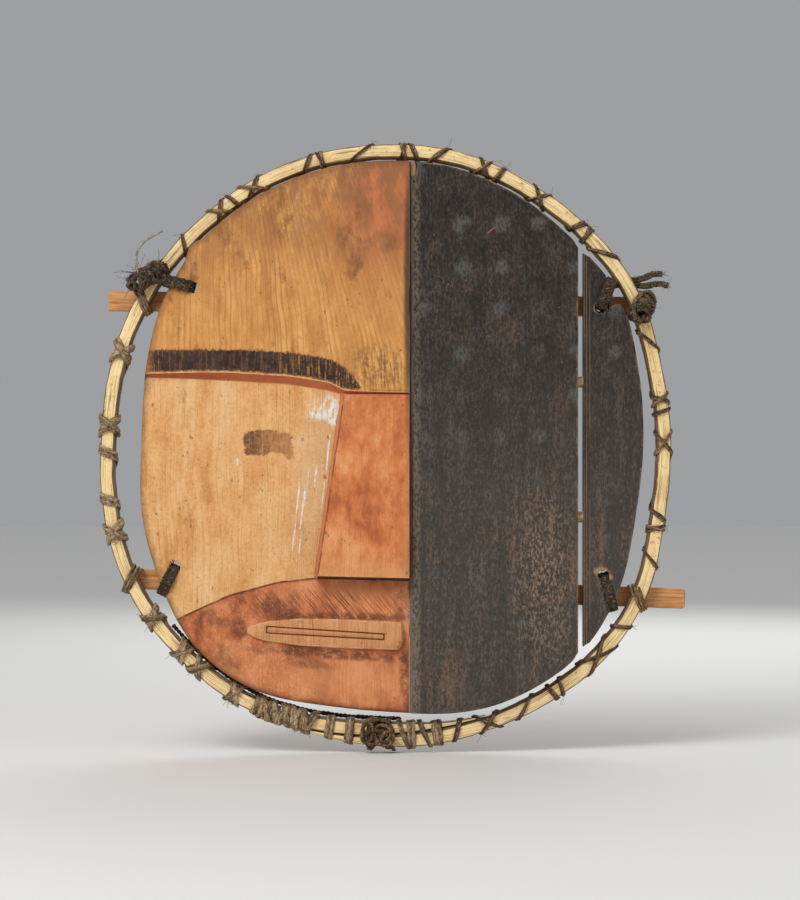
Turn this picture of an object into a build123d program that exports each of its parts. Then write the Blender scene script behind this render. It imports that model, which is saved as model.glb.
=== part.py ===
from build123d import *
import math
import os

# A mask of three boards, tied to two cross sticks and ringed by a bent rod hoop.
# Millimetres. +X is to the right and +Z is up as the mask hangs, and its front faces -Y.
# The origin is on the back of the upper cross stick, in the middle of the hoop's width.
# The wall is the plane y = 0, and "forward" sizes are measured from it towards the front.
# Places on the boards and the hoop are (across, up) from the hoop's centre.

# Hoop: a peeled rod bent round, with its two ends cut to long tapers that lie side by side
hoop_half_width = 222.4
hoop_half_height = 235.5
rod_width = 12
rod_depth = 12
scarf_swell = 8
scarf_from = 251
scarf_to = 291
scarf_slit = 0.5
scarf_tip = 1
# How far the rod strays from a true ellipse, every 15 degrees from the right-hand side
hoop_share = (
    1.00, 1.00, 1.02, 1.01, 1.00, 1.00, 0.99, 0.99, 0.99, 0.99, 1.00, 1.00,
    1.00, 1.02, 1.03, 1.02, 1.01, 0.99, 0.99, 1.01, 1.03, 1.05, 1.05, 1.01,
)
# Space between the rod's inner side and the boards, every 15 degrees in the same way
board_gap = (
    11.0, 7.5, 4.5, 5.0, 2.5, 2.2, 2.0, 2.0, 2.0, 2.5, 9.5, 17.5,
    21.0, 18.5, 14.5, 4.5, 5.0, 9.5, 8.5, 7.0, 5.0, 6.0, 11.5, 12.0,
)

# Cross sticks: flat laths behind the boards and the hoop
stick_height = 16
stick_depth = 8
stick_edge = 1
# Each stick's rise from the hoop's centre, and its tilt down to the right in degrees
upper_stick = (111.7, 0.62)
lower_stick = (-116.7, 2.06)
upper_left_overhang = 28.6
upper_right_overhang = 8.4
lower_left_overhang = 6.8
lower_right_overhang = 38.6
stick_end_round = 3

# Boards
cheek_thick = 18
forehead_rise = 5
nose_rise = 14
muzzle_sink = 1.5
lip_rise = 5
mouth_depth = 2.5
plain_thick = 20
seam_across = 18.6
seam_width = 0.2
seam_bevel = 2.5
outer_gap_across = 155.5
outer_gap_width = 4.4
rabbet_width = 4.5
rabbet_depth = 3

# Dowels that peg the boards edge to edge
dowel_radius = 4.5
dowel_length = 40
dowel_forward = 17
dowel_fit = 0.05
centre_dowel_ups = (120, -5, -150)
outer_dowel_ups = (48.8, -59.2)

# Tie holes: each centre's height above its stick's middle, and how far it is in from the edge
tie_hole_radius = 5
upper_left_hole_place = (10.6, 16.4)
lower_left_hole_place = (11.4, 15.3)
upper_right_hole_place = (-1.9, 17.5)
lower_right_hole_place = (17.3, 15.6)

# Root lashing round the rod, ties through the boards, and bindings at the crossings
clearance = 0.2
strip_width = 3
wide_strip_width = 8
strip_thick = 1.2
tie_radius = 1.8
tie_bend = 3
binding_width = 5
binding_lean = 65
notch_spare = 0.3
rope_radius = 1.8
tail_radius = 1

# Worked out from the sizes above
hoop_up = -upper_stick[0]
rod_front = stick_depth + rod_depth
cheek_front = stick_depth + cheek_thick
muzzle_front = cheek_front - muzzle_sink
plain_front = stick_depth + plain_thick
forehead_front = cheek_front + forehead_rise
sheet = 2 * (hoop_half_width + hoop_half_height)


def smooth(values, angle):
    # A closed, smooth curve through evenly spaced values
    place = (angle % 360) / 360 * len(values)
    index = int(place)
    part = place - index
    before, low, high, after = (values[(index + step) % len(values)] for step in (-1, 0, 1, 2))
    slope_low = (high - before) / 2
    slope_high = (after - low) / 2
    bend = 2 * (low - high) + slope_low + slope_high
    return ((bend * part + 3 * (high - low) - 2 * slope_low - slope_high) * part + slope_low) * part + low


def rod_middle(angle):
    share = smooth(hoop_share, angle)
    turn = math.radians(angle)
    return Vector(hoop_half_width * share * math.cos(turn), hoop_half_height * share * math.sin(turn))


def rod_facing(angle):
    # Which way the rod's outer side faces, in degrees
    along = rod_middle(angle + 0.5) - rod_middle(angle - 0.5)
    return math.degrees(math.atan2(-along.X, along.Y))


def rod_half(angle):
    # Half the rod's width, which is more where the two tapered ends lie side by side
    place = (angle % 360 - scarf_from + 4) / (scarf_to - scarf_from + 8)
    if 0 < place < 1:
        return rod_width / 2 + scarf_swell / 2 * math.sin(math.pi * place) ** 2
    return rod_width / 2


def by_hoop(angle, outward):
    # A point beside the rod's middle line, further from the hoop's centre or nearer to it
    facing = math.radians(rod_facing(angle))
    return rod_middle(angle) + Vector(math.cos(facing), math.sin(facing)) * outward


def board_edge(angle):
    return -rod_half(angle) - smooth(board_gap, angle)


def beside_edge(angle, inset):
    # A point on a board, this far in from its edge, or outside it where inset is negative
    return by_hoop(angle, board_edge(angle) - inset)


def height_over(stick, point):
    rise, tilt = stick
    return point.Y - rise + point.X * math.tan(math.radians(tilt))


def angle_at_stick(low, high, stick, over, place):
    # The hoop angle between low and high where place(angle) is this far over a stick's middle
    rising = height_over(stick, place(high)) > height_over(stick, place(low))
    for _ in range(40):
        middle = (low + high) / 2
        if (height_over(stick, place(middle)) > over) == rising:
            high = middle
        else:
            low = middle
    return middle


def tie_hole(low, high, stick, hole_place):
    over, inset = hole_place
    angle = angle_at_stick(low, high, stick, over, lambda turn: beside_edge(turn, inset))
    return beside_edge(angle, inset)


def front(forward):
    # The plane at this distance forward, seen from the front, with the hoop's centre at (0, 0)
    return Plane(origin=(0, -forward, hoop_up), x_dir=(1, 0, 0), z_dir=(0, -1, 0))


def slice_plane(point, facing):
    # A plane that cuts from front to back: its x runs along the facing, and its y runs forward
    turn = math.radians(facing)
    across = math.cos(turn)
    up = math.sin(turn)
    return Plane(origin=(point.X, 0, hoop_up + point.Y), x_dir=(across, 0, up), z_dir=(up, 0, -across))


def stick_plane(stick):
    rise, tilt = stick
    turn = math.radians(tilt)
    return Plane(origin=(0, 0, hoop_up + rise), x_dir=(math.cos(turn), 0, -math.sin(turn)), z_dir=(0, -1, 0))


def face_outline():
    with BuildSketch() as outline:
        with BuildLine():
            Spline(*(by_hoop(step, board_edge(step)) for step in range(0, 360, 6)), periodic=True)
        make_face()
    return outline.sketch


def board_outline(left, right):
    with BuildSketch() as outline:
        add(face_outline())
        with Locations(((left + right) / 2, 0)):
            Rectangle(right - left, sheet, mode=Mode.INTERSECT)
    return outline.sketch


def scarf_line(angle):
    # The line between the two tapered ends, from the rod's outer side to its inner side
    place = (angle - scarf_from) / (scarf_to - scarf_from)
    return (rod_half(angle) - scarf_tip) * (1 - 2 * place)


def outer_side(angle):
    # The rod goes once round, and then on behind its own outer end
    if angle < scarf_from + 360:
        return rod_half(angle)
    return scarf_line(angle - 360) - scarf_slit / 2


def inner_side(angle):
    if angle <= scarf_to:
        return scarf_line(angle) + scarf_slit / 2
    return -rod_half(angle)


def peg_holes(ups, across, radius, length):
    # Round holes along X, or the pegs themselves
    for up in ups:
        with BuildSketch(Plane.YZ.offset(across - length / 2)) as end:
            with Locations((-dowel_forward, hoop_up + up)):
                Circle(radius)
        extrude(end.sketch, amount=length, mode=Mode.SUBTRACT if radius > dowel_radius else Mode.ADD)


def bore(point, radius, depth):
    # A round hole from the wall plane forward
    with BuildSketch(front(0)) as end:
        with Locations((point.X, point.Y)):
            Circle(radius)
    extrude(end.sketch, amount=depth, mode=Mode.SUBTRACT)


def plate(corners, forward, thick):
    with BuildSketch(front(forward)) as outline:
        with BuildLine():
            Polyline(*corners, close=True)
        make_face()
    extrude(outline.sketch, amount=thick)


def beside_rod(angle, side, width):
    # The four corners of a strip's end, standing along one side of the rod
    facing = math.radians(rod_facing(angle))
    outward = Vector(math.cos(facing), math.sin(facing))
    along = Vector(-outward.Y, outward.X) * (width / 2)
    near = by_hoop(angle, side * (rod_half(angle) + clearance))
    far = by_hoop(angle, side * (rod_half(angle) + clearance + strip_thick))
    return near - along, near + along, far + along, far - along


def winding(turns, width):
    # One strip, wound round the rod: forward on the inner side, across the front,
    # back on the outer side, then behind the rod to the next turn
    strip_back = stick_depth - clearance - strip_thick
    strip_front = rod_front + clearance
    for number, (inner, outer) in enumerate(turns):
        inner_side = beside_rod(inner, -1, width)
        outer_side = beside_rod(outer, 1, width)
        plate(inner_side, strip_back, strip_front + strip_thick - strip_back)
        plate(outer_side, strip_back, strip_front + strip_thick - strip_back)
        plate((inner_side[3], inner_side[2], outer_side[2], outer_side[3]), strip_front, strip_thick)
        if number + 1 < len(turns):
            next_side = beside_rod(turns[number + 1][0], -1, width)
            plate((outer_side[3], outer_side[2], next_side[2], next_side[3]), strip_back, strip_thick)


def frame_sketch(point, facing, low, high, back, fore, thick):
    # A rectangular frame in a plane that cuts from front to back
    with BuildSketch(slice_plane(point, facing)) as ring:
        with Locations(((low + high) / 2, (back + fore) / 2)):
            Rectangle(high - low + 2 * thick, fore - back + 2 * thick)
            Rectangle(high - low, fore - back, mode=Mode.SUBTRACT)
    return ring.sketch


def band(angle, width):
    # One closed turn, square across the rod and clear of it where it widens
    reach = max(rod_half(angle - 1), rod_half(angle + 1)) + clearance
    ring = frame_sketch(
        rod_middle(angle), rod_facing(angle), -reach, reach,
        stick_depth - clearance, rod_front + clearance, strip_thick,
    )
    extrude(ring, amount=width / 2, both=True)


def binding_facing(angle, lean_side):
    return 90 + lean_side * (90 - binding_lean)


def binding_reach(angle, lean_side):
    # Far enough to pass both the stick's edges and the rod's sides
    lean = math.radians(binding_lean)
    off_rod = math.radians(binding_facing(angle, lean_side) - rod_facing(angle) - 90)
    half = binding_width / 2
    past_stick = (stick_height / 2 + half * math.cos(lean)) / math.sin(lean)
    past_rod = (rod_half(angle) + half * abs(math.cos(off_rod))) / abs(math.sin(off_rod))
    return max(past_stick, past_rod) + 3 * clearance


def binding(angle, lean_side):
    # A slanting band round the rod and the stick where they cross
    reach = binding_reach(angle, lean_side)
    ring = frame_sketch(
        rod_middle(angle), binding_facing(angle, lean_side), -reach, reach,
        notch_spare + strip_thick, rod_front + clearance, strip_thick,
    )
    extrude(ring, amount=binding_width / 2, both=True)


def binding_notch(angle, lean_side):
    # A shallow notch in the stick's back that lets the binding lie below the wall plane
    depth = notch_spare + strip_thick + clearance
    with BuildSketch(slice_plane(rod_middle(angle), binding_facing(angle, lean_side))) as cut:
        with Locations((0, depth / 2)):
            Rectangle(4 * stick_height, depth)
    extrude(cut.sketch, amount=binding_width / 2 + clearance, both=True, mode=Mode.SUBTRACT)


def tie_run(hole, anchor):
    # How far the anchor is from the hole, and which way
    run = anchor - hole
    return run.length, math.degrees(math.atan2(run.Y, run.X))


def tie_loop(hole, anchor, board_front, over_hoop_from):
    # A closed cord: through the hole, over the board's edge, and back behind.
    # Where over_hoop_from is given, it goes down over the hoop from that distance on.
    length, facing = tie_run(hole, anchor)
    fore = board_front + clearance + tie_radius
    back = notch_spare + tie_radius
    corners = [(0, back), (0, fore)]
    if over_hoop_from:
        corners += [(over_hoop_from, fore), (length, rod_front + clearance + tie_radius)]
    else:
        corners += [(length, fore)]
    corners += [(length, back)]
    start = slice_plane(hole, facing)
    with BuildLine(start) as path:
        FilletPolyline(*corners, radius=tie_bend, close=True)
    with BuildSketch(Plane(origin=path.line @ 0, z_dir=path.line % 0)) as section:
        Circle(tie_radius)
    sweep(section.sketch, path=path.line)


def tie_groove(hole, anchor):
    # A groove in a stick's back for the cord that passes behind it
    length, facing = tie_run(hole, anchor)
    depth = notch_spare + 2 * tie_radius + notch_spare
    with BuildSketch(slice_plane(hole, facing)) as cut:
        with Locations((length / 2, depth / 2)):
            Rectangle(length + 2 * (tie_radius + notch_spare), depth)
    extrude(cut.sketch, amount=tie_radius + notch_spare, both=True, mode=Mode.SUBTRACT)


def lump(point, facing, length, breadth, rest, height):
    # A knot: a rounded block that lies along the facing, flat where it rests
    with BuildSketch(front(rest)) as foot:
        with Locations(Location((point.X, point.Y, 0), (0, 0, facing))):
            RectangleRounded(length, breadth, breadth * 0.42)
    block = extrude(foot.sketch, amount=height)
    fillet(block.edges().group_by(Axis.Y)[0], breadth * 0.25)


def strand(path_points, radius, bends):
    with BuildLine() as path:
        FilletPolyline(*path_points, radius=bends)
    with BuildSketch(Plane(origin=path.line @ 0, z_dir=path.line % 0)) as section:
        Circle(radius)
    sweep(section.sketch, path=path.line)
    print(f"strand {path.wire().length:.1f} mm long, bends {[round(bend, 1) for bend in bends]}")


def gentle_bends(points):
    # The largest arc at each corner that its two runs allow
    bends = []
    for before, corner, after in zip(points, points[1:], points[2:]):
        into = corner - before
        out = after - corner
        half_turn = math.radians(into.get_angle(out)) / 2
        bends.append(0.45 * min(into.length, out.length) / math.tan(half_turn))
    return bends


def at(point, forward):
    return Vector(point.X, -forward, hoop_up + point.Y)


def finish(part, label):
    part.label = label
    export_step(part, f"parts/{label}.step")


os.makedirs("parts", exist_ok=True)

# Where the rod's middle crosses each stick's middle
upper_left_angle = angle_at_stick(95, 180, upper_stick, 0, rod_middle)
upper_right_angle = angle_at_stick(0, 85, upper_stick, 0, rod_middle)
lower_left_angle = angle_at_stick(180, 265, lower_stick, 0, rod_middle)
lower_right_angle = angle_at_stick(275, 360, lower_stick, 0, rod_middle)

# Tie holes
upper_left_hole = tie_hole(95, 180, upper_stick, upper_left_hole_place)
lower_left_hole = tie_hole(180, 265, lower_stick, lower_left_hole_place)
upper_right_hole = tie_hole(0, 85, upper_stick, upper_right_hole_place)
lower_right_hole = tie_hole(275, 360, lower_stick, lower_right_hole_place)

# The upper ties go over the hoop and down its outer side, clear of the crossing's binding.
# The lower ties go down between board and hoop, just below their stick.
over_hoop = rod_width / 2 + clearance + tie_radius + 1
upper_left_anchor = by_hoop(upper_left_angle - 4.5, over_hoop)
below_stick = -stick_height / 2 - tie_radius - 2 * clearance
in_gap = -tie_radius - 2 * clearance
upper_right_anchor = beside_edge(upper_right_angle + 7, in_gap)
lower_left_anchor = beside_edge(
    angle_at_stick(180, 265, lower_stick, below_stick, lambda turn: beside_edge(turn, in_gap)), in_gap)
lower_right_anchor = beside_edge(
    angle_at_stick(275, 360, lower_stick, below_stick, lambda turn: beside_edge(turn, in_gap)), in_gap)

# Face board: cheek, forehead with the brow's edge, wedge nose, muzzle, lips and mouth
brow_line = ((-190, 55), (-157, 56), (-125, 56), (-77, 53), (-45, 48), (-33, 41))
muzzle_line = ((-161, -138), (-125, -121.5), (-85, -111), (-54, -108), (seam_across, -109.5))
nose_top_left = (-33, 41)
nose_bottom_left = (-54.5, -107)
lip_top = ((-109, -149), (-95, -142.5), (-69, -140), (-30, -141), (13.6, -143))
lip_bottom = ((9.6, -167), (-30, -165.5), (-70, -162.5), (-99, -157.5), (-109, -149))
mouth_corners = ((-95, -145.6), (-1.6, -152.8), (-1.6, -159.2), (-95, -152.8))

with BuildPart() as face_board:
    with BuildSketch(front(stick_depth)):
        add(board_outline(-sheet / 2, seam_across - seam_width / 2))
    extrude(amount=cheek_thick)
    with BuildSketch(front(cheek_front)):
        with BuildLine():
            edge = Spline(*brow_line)
            Polyline(edge @ 1, (sheet, brow_line[-1][1]), (sheet, sheet), (-sheet, sheet),
                     (-sheet, brow_line[0][1]), edge @ 0)
        make_face()
        add(board_outline(-sheet / 2, seam_across - seam_width / 2), mode=Mode.INTERSECT)
    extrude(amount=forehead_rise)
    with BuildSketch(front(cheek_front)):
        with BuildLine():
            edge = Spline(*muzzle_line)
            Polyline(edge @ 1, (sheet, muzzle_line[-1][1]), (sheet, -sheet), (-sheet, -sheet),
                     (-sheet, muzzle_line[0][1]), edge @ 0)
        make_face()
    extrude(amount=-muzzle_sink, mode=Mode.SUBTRACT)
    with BuildSketch(front(muzzle_front)):
        with BuildLine():
            upper = Spline(*lip_top)
            lower = Spline(*lip_bottom)
            Line(upper @ 1, (lip_top[-1][0], -157.5))
            Line((lip_top[-1][0], -157.5), lower @ 0)
        make_face()
    extrude(amount=lip_rise)
    with BuildSketch(front(muzzle_front + lip_rise - mouth_depth)):
        with BuildLine():
            Polyline(*mouth_corners, close=True)
        make_face()
    extrude(amount=mouth_depth, mode=Mode.SUBTRACT)
    seam_side = seam_across - seam_width / 2
    with BuildSketch(front(cheek_front)):
        with BuildLine():
            Polyline(nose_top_left, (seam_side, nose_top_left[1]), (seam_side, nose_bottom_left[1]),
                     nose_bottom_left, close=True)
        make_face()
    extrude(amount=nose_rise)
    # The nose slopes from the forehead's plane out to its full rise at the bottom
    with BuildSketch(Plane.YZ.offset(-sheet / 2)):
        with BuildLine():
            Polyline((-forehead_front, hoop_up + nose_top_left[1]),
                     (-cheek_front - nose_rise, hoop_up + nose_bottom_left[1]),
                     (-cheek_front - nose_rise - 1, hoop_up + nose_bottom_left[1]),
                     (-cheek_front - nose_rise - 1, hoop_up + nose_top_left[1]), close=True)
        make_face()
    extrude(amount=sheet, mode=Mode.SUBTRACT)
    bore(upper_left_hole, tie_hole_radius, forehead_front + 1)
    bore(lower_left_hole, tie_hole_radius, forehead_front + 1)
    peg_holes(centre_dowel_ups, seam_across, dowel_radius + dowel_fit, dowel_length)
finish(face_board.part, "face_board")

with BuildPart() as middle_board:
    with BuildSketch(front(stick_depth)):
        add(board_outline(seam_across + seam_width / 2, outer_gap_across - outer_gap_width / 2))
    extrude(amount=plain_thick)
    front_edges = middle_board.edges().filter_by(Axis.Z).group_by(Axis.Y)[0]
    chamfer(front_edges.sort_by(Axis.X)[0], seam_bevel)
    peg_holes(centre_dowel_ups, seam_across, dowel_radius + dowel_fit, dowel_length)
    peg_holes(outer_dowel_ups, outer_gap_across, dowel_radius + dowel_fit, dowel_length)
finish(middle_board.part, "middle_board")

with BuildPart() as narrow_board:
    narrow_left = outer_gap_across + outer_gap_width / 2
    with BuildSketch(front(stick_depth)):
        add(board_outline(narrow_left, sheet / 2))
    extrude(amount=plain_thick)
    with BuildSketch(front(plain_front - rabbet_depth)):
        with Locations((narrow_left + rabbet_width / 2, 0)):
            Rectangle(rabbet_width, sheet)
    extrude(amount=rabbet_depth, mode=Mode.SUBTRACT)
    bore(upper_right_hole, tie_hole_radius, plain_front + 1)
    bore(lower_right_hole, tie_hole_radius, plain_front + 1)
    # The wood has broken out from the upper hole to the board's edge
    broken_corners = ((0, 1), (11, 18), (30, 20), (17, 7))
    with BuildSketch(front(stick_depth)):
        with BuildLine():
            Polyline(*(upper_right_hole + Vector(*corner) for corner in broken_corners), close=True)
        make_face()
    extrude(amount=plain_thick, mode=Mode.SUBTRACT)
    # The lower tie has a groove that slants down to the edge
    groove_run, groove_facing = tie_run(lower_right_hole, lower_right_anchor)
    with BuildSketch(slice_plane(lower_right_hole, groove_facing)):
        with Locations((groove_run, plain_front)):
            Rectangle(2 * groove_run, 10)
    extrude(amount=tie_hole_radius - 1, both=True, mode=Mode.SUBTRACT)
    peg_holes(outer_dowel_ups, outer_gap_across, dowel_radius + dowel_fit, dowel_length)
finish(narrow_board.part, "narrow_board")

with BuildPart() as centre_dowels:
    peg_holes(centre_dowel_ups, seam_across, dowel_radius, dowel_length - 1)
finish(centre_dowels.part, "centre_dowels")

with BuildPart() as outer_dowels:
    peg_holes(outer_dowel_ups, outer_gap_across, dowel_radius, dowel_length - 1)
finish(outer_dowels.part, "outer_dowels")

with BuildPart() as upper_cross_stick:
    left_end = rod_middle(upper_left_angle).X - upper_left_overhang
    right_end = rod_middle(upper_right_angle).X + upper_right_overhang
    with BuildSketch(stick_plane(upper_stick)):
        with Locations(((left_end + right_end) / 2, 0)):
            Rectangle(right_end - left_end, stick_height)
    extrude(amount=stick_depth)
    chamfer(upper_cross_stick.faces().sort_by(Axis.Y)[0].edges(), stick_edge)
    binding_notch(upper_left_angle, 1)
    binding_notch(upper_right_angle, -1)
    # The upper right tie comes through the stick, behind its hole in the board
    bore(upper_right_hole, tie_radius + notch_spare, stick_depth)
    tie_groove(upper_right_hole, upper_right_anchor)
finish(upper_cross_stick.part, "upper_cross_stick")

with BuildPart() as lower_cross_stick:
    left_end = rod_middle(lower_left_angle).X - lower_left_overhang
    right_end = rod_middle(lower_right_angle).X + lower_right_overhang
    with BuildSketch(stick_plane(lower_stick)) as lath:
        with Locations(((left_end + right_end) / 2, 0)):
            Rectangle(right_end - left_end, stick_height)
        fillet(lath.vertices().group_by(Axis.X)[-1], stick_end_round)
    extrude(amount=stick_depth)
    chamfer(lower_cross_stick.faces().sort_by(Axis.Y)[0].edges(), stick_edge)
    binding_notch(lower_left_angle, -1)
    binding_notch(lower_right_angle, 1)
    tie_groove(lower_left_hole, lower_left_anchor)
    tie_groove(lower_right_hole, lower_right_anchor)
finish(lower_cross_stick.part, "lower_cross_stick")

with BuildPart() as hoop:
    rod_steps = range(scarf_from, scarf_to + 361, 5)
    with BuildSketch(front(stick_depth)):
        with BuildLine():
            outside = Spline(*(by_hoop(step, outer_side(step)) for step in rod_steps))
            inside = Spline(*(by_hoop(step, inner_side(step)) for step in rod_steps))
            Line(outside @ 0, inside @ 0)
            Line(outside @ 1, inside @ 1)
        make_face()
    extrude(amount=rod_depth)
finish(hoop.part, "hoop")

# Lashings: (inner, outer) hoop angles of each turn's front strand
with BuildPart() as upper_left_lashing:
    winding(((138.5, 136), (128.7, 125.3), (123.2, 124.1), (121, 116.5), (108.1, 105.1), (103, 104),
             (98.5, 92.6), (86.8, 86.1), (83.3, 84.9)), strip_width)
finish(upper_left_lashing.part, "upper_left_lashing")

with BuildPart() as upper_right_lashing:
    winding(((80.6, 77.4), (70.6, 68.3), (66.3, 65.4), (58.4, 54.9), (47.8, 46.1), (43.9, 44.9),
             (42.2, 37)), strip_width)
finish(upper_right_lashing.part, "upper_right_lashing")

with BuildPart() as right_lashing:
    winding(((22.5, 18.1), (9.4, 7.7), (5.6, 6.6), (2, -1.9), (-13, -15), (-17.3, -16),
             (-21, -24)), strip_width)
finish(right_lashing.part, "right_lashing")

with BuildPart() as lower_right_lashing:
    winding(((-37.3, -35.4), (-40.2, -47.1), (-52.3, -53.3), (-55.1, -54.5), (-58.9, -63.2),
             (-66.8, -70.8), (-74.3, -76.2)), strip_width)
finish(lower_right_lashing.part, "lower_right_lashing")

with BuildPart() as left_lashing:
    winding(((198.6, 196.4), (191.8, 190.6), (182.6, 181.2), (177.4, 175.6), (163.4, 160)),
            wide_strip_width)
finish(left_lashing.part, "left_lashing")

with BuildPart() as lower_left_lashing:
    winding(((237.6, 237), (229.6, 227.4), (224.6, 223.8), (216, 215.2)), wide_strip_width)
finish(lower_left_lashing.part, "lower_left_lashing")

with BuildPart() as scarf_bands:
    for angle, width in ((280.4, 8), (275.2, 6), (262.2, 7), (258, 6.4)):
        band(angle, width)
finish(scarf_bands.part, "scarf_bands")

with BuildPart() as scarf_winding:
    for turn in range(12):
        band(242.4 + turn * 1.05, 3.8)
finish(scarf_winding.part, "scarf_winding")

with BuildPart() as scarf_knot:
    knot_angle = 268.8
    lump(rod_middle(knot_angle), rod_facing(knot_angle), 30, 17, rod_front + clearance, 10)
    band(knot_angle, 14)
finish(scarf_knot.part, "scarf_knot")

with BuildPart() as upper_left_tie:
    reach, _ = tie_run(upper_left_hole, upper_left_anchor)
    tie_loop(upper_left_hole, upper_left_anchor, forehead_front, reach - 21)
finish(upper_left_tie.part, "upper_left_tie")

with BuildPart() as upper_right_tie:
    tie_loop(upper_right_hole, upper_right_anchor, plain_front, 0)
finish(upper_right_tie.part, "upper_right_tie")

with BuildPart() as lower_left_tie:
    tie_loop(lower_left_hole, lower_left_anchor, cheek_front, 0)
finish(lower_left_tie.part, "lower_left_tie")

with BuildPart() as lower_right_tie:
    tie_loop(lower_right_hole, lower_right_anchor, plain_front, 0)
finish(lower_right_tie.part, "lower_right_tie")

with BuildPart() as upper_left_binding:
    binding(upper_left_angle, 1)
finish(upper_left_binding.part, "upper_left_binding")

with BuildPart() as upper_right_binding:
    binding(upper_right_angle, -1)
finish(upper_right_binding.part, "upper_right_binding")

with BuildPart() as lower_left_binding:
    binding(lower_left_angle, -1)
finish(lower_left_binding.part, "lower_left_binding")

with BuildPart() as lower_right_binding:
    binding(lower_right_angle, 1)
finish(lower_right_binding.part, "lower_right_binding")

# A loose end of sinew curls up from the upper left knot
with BuildPart() as upper_left_tail:
    root = by_hoop(upper_left_angle - 4, 2)
    tail_route = [
        at(root + Vector(-6, 0), 30),
        at(root + Vector(-12, 12), 31.5),
        at(root + Vector(-10, 25), 32.5),
        at(root + Vector(-1, 35), 32),
        at(root + Vector(10, 40), 30.5),
    ]
    strand(tail_route, tail_radius, gentle_bends(tail_route))
finish(upper_left_tail.part, "upper_left_tail")

# The knots rest on the bindings
knot_rest = rod_front + 2 * clearance + strip_thick

with BuildPart() as upper_left_knot:
    lump(by_hoop(upper_left_angle - 4.5, 6), 30, 34, 18, knot_rest, 14)
    add(upper_left_tie.part, mode=Mode.SUBTRACT)
    add(upper_left_tail.part, mode=Mode.SUBTRACT)
finish(upper_left_knot.part, "upper_left_knot")

with BuildPart() as upper_right_knot:
    knot_middle = by_hoop(upper_right_angle - 1.5, 3.5)
    lump(knot_middle, 62, 27, 19, knot_rest, 14)
    for tip in (Vector(15, 27), Vector(20, 18)):
        stub_start = at(knot_middle + tip * 0.3, knot_rest + 5)
        stub_end = at(knot_middle + tip, knot_rest + 6)
        with BuildSketch(Plane(origin=stub_start, z_dir=stub_end - stub_start)):
            Circle(2.5)
        extrude(amount=(stub_end - stub_start).length)
finish(upper_right_knot.part, "upper_right_knot")

# The running end of the lashing lies along the hoop's inner side, behind the turns
with BuildPart() as inner_rope:
    rope_route = [
        at(by_hoop(step, -rod_half(step) - rope_radius), stick_depth - clearance - strip_thick - rope_radius)
        for step in range(219, 274, 9)
    ]
    strand(rope_route, rope_radius, gentle_bends(rope_route))
finish(inner_rope.part, "inner_rope")
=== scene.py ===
import math

import bpy
import numpy as np
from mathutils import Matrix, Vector
from mathutils.bvhtree import BVHTree


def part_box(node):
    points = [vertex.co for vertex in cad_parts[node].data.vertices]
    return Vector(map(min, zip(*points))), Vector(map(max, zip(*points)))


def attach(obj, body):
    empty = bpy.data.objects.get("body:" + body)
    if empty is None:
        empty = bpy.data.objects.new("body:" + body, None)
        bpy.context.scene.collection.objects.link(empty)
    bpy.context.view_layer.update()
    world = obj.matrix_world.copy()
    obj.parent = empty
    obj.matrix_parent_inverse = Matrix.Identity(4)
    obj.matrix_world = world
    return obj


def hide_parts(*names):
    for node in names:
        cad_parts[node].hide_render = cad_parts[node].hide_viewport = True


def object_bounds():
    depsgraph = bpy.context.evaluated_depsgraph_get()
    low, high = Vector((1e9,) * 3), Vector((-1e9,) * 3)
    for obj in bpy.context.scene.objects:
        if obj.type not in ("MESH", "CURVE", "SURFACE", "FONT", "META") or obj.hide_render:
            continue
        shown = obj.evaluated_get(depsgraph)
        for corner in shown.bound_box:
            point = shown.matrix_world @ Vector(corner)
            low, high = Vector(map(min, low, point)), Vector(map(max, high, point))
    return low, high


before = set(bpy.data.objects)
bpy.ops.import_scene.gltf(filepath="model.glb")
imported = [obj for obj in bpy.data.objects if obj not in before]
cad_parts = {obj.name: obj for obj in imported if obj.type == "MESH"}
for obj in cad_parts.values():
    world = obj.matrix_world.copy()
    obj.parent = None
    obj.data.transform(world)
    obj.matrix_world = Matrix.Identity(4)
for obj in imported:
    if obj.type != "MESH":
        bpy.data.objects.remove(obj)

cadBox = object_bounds()
print("frame loaded, box", cadBox)

mm = 0.001
hoopMiddleUp = -0.1117  # the hoop's centre, below the upper stick's middle


# Camera, light and floor
view = {
    "across": 0.0112,
    "up": hoopMiddleUp - 0.0056,
    "distance": 2.4,
    "tall": 0.72,  # what the frame holds at the hoop
    "depthAim": -0.02,
}
light = {
    "sky": (0.80, 0.82, 0.85),
    "skyStrength": 0.42,
    "keyPlace": (-0.95, -1.55, 1.15),
    "keySize": 0.9,
    "keyPower": 25,
    "fillPlace": (1.5, -1.3, 0.1),
    "fillSize": 1.6,
    "fillPower": 7,
    "backPlace": (0.4, 1.6, 0.9),
    "backSize": 1.4,
    "backPower": 14,
    "sunPlace": (-0.8, -1.6, 2.6),
    "sunPower": 0.55,
    "sunSpread": 0.5,
    "floorColour": (0.74, 0.73, 0.71),
    "floorSize": 14.0,
}


def addLight(part, aim):
    name = part + "Light"
    data = bpy.data.lights.new(name, "AREA")
    data.size = light[part + "Size"]
    data.energy = light[part + "Power"]
    lamp = bpy.data.objects.new(name, data)
    bpy.context.scene.collection.objects.link(lamp)
    lamp.location = light[part + "Place"]
    lamp.rotation_euler = (Vector(aim) - lamp.location).to_track_quat("-Z", "Y").to_euler()


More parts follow.
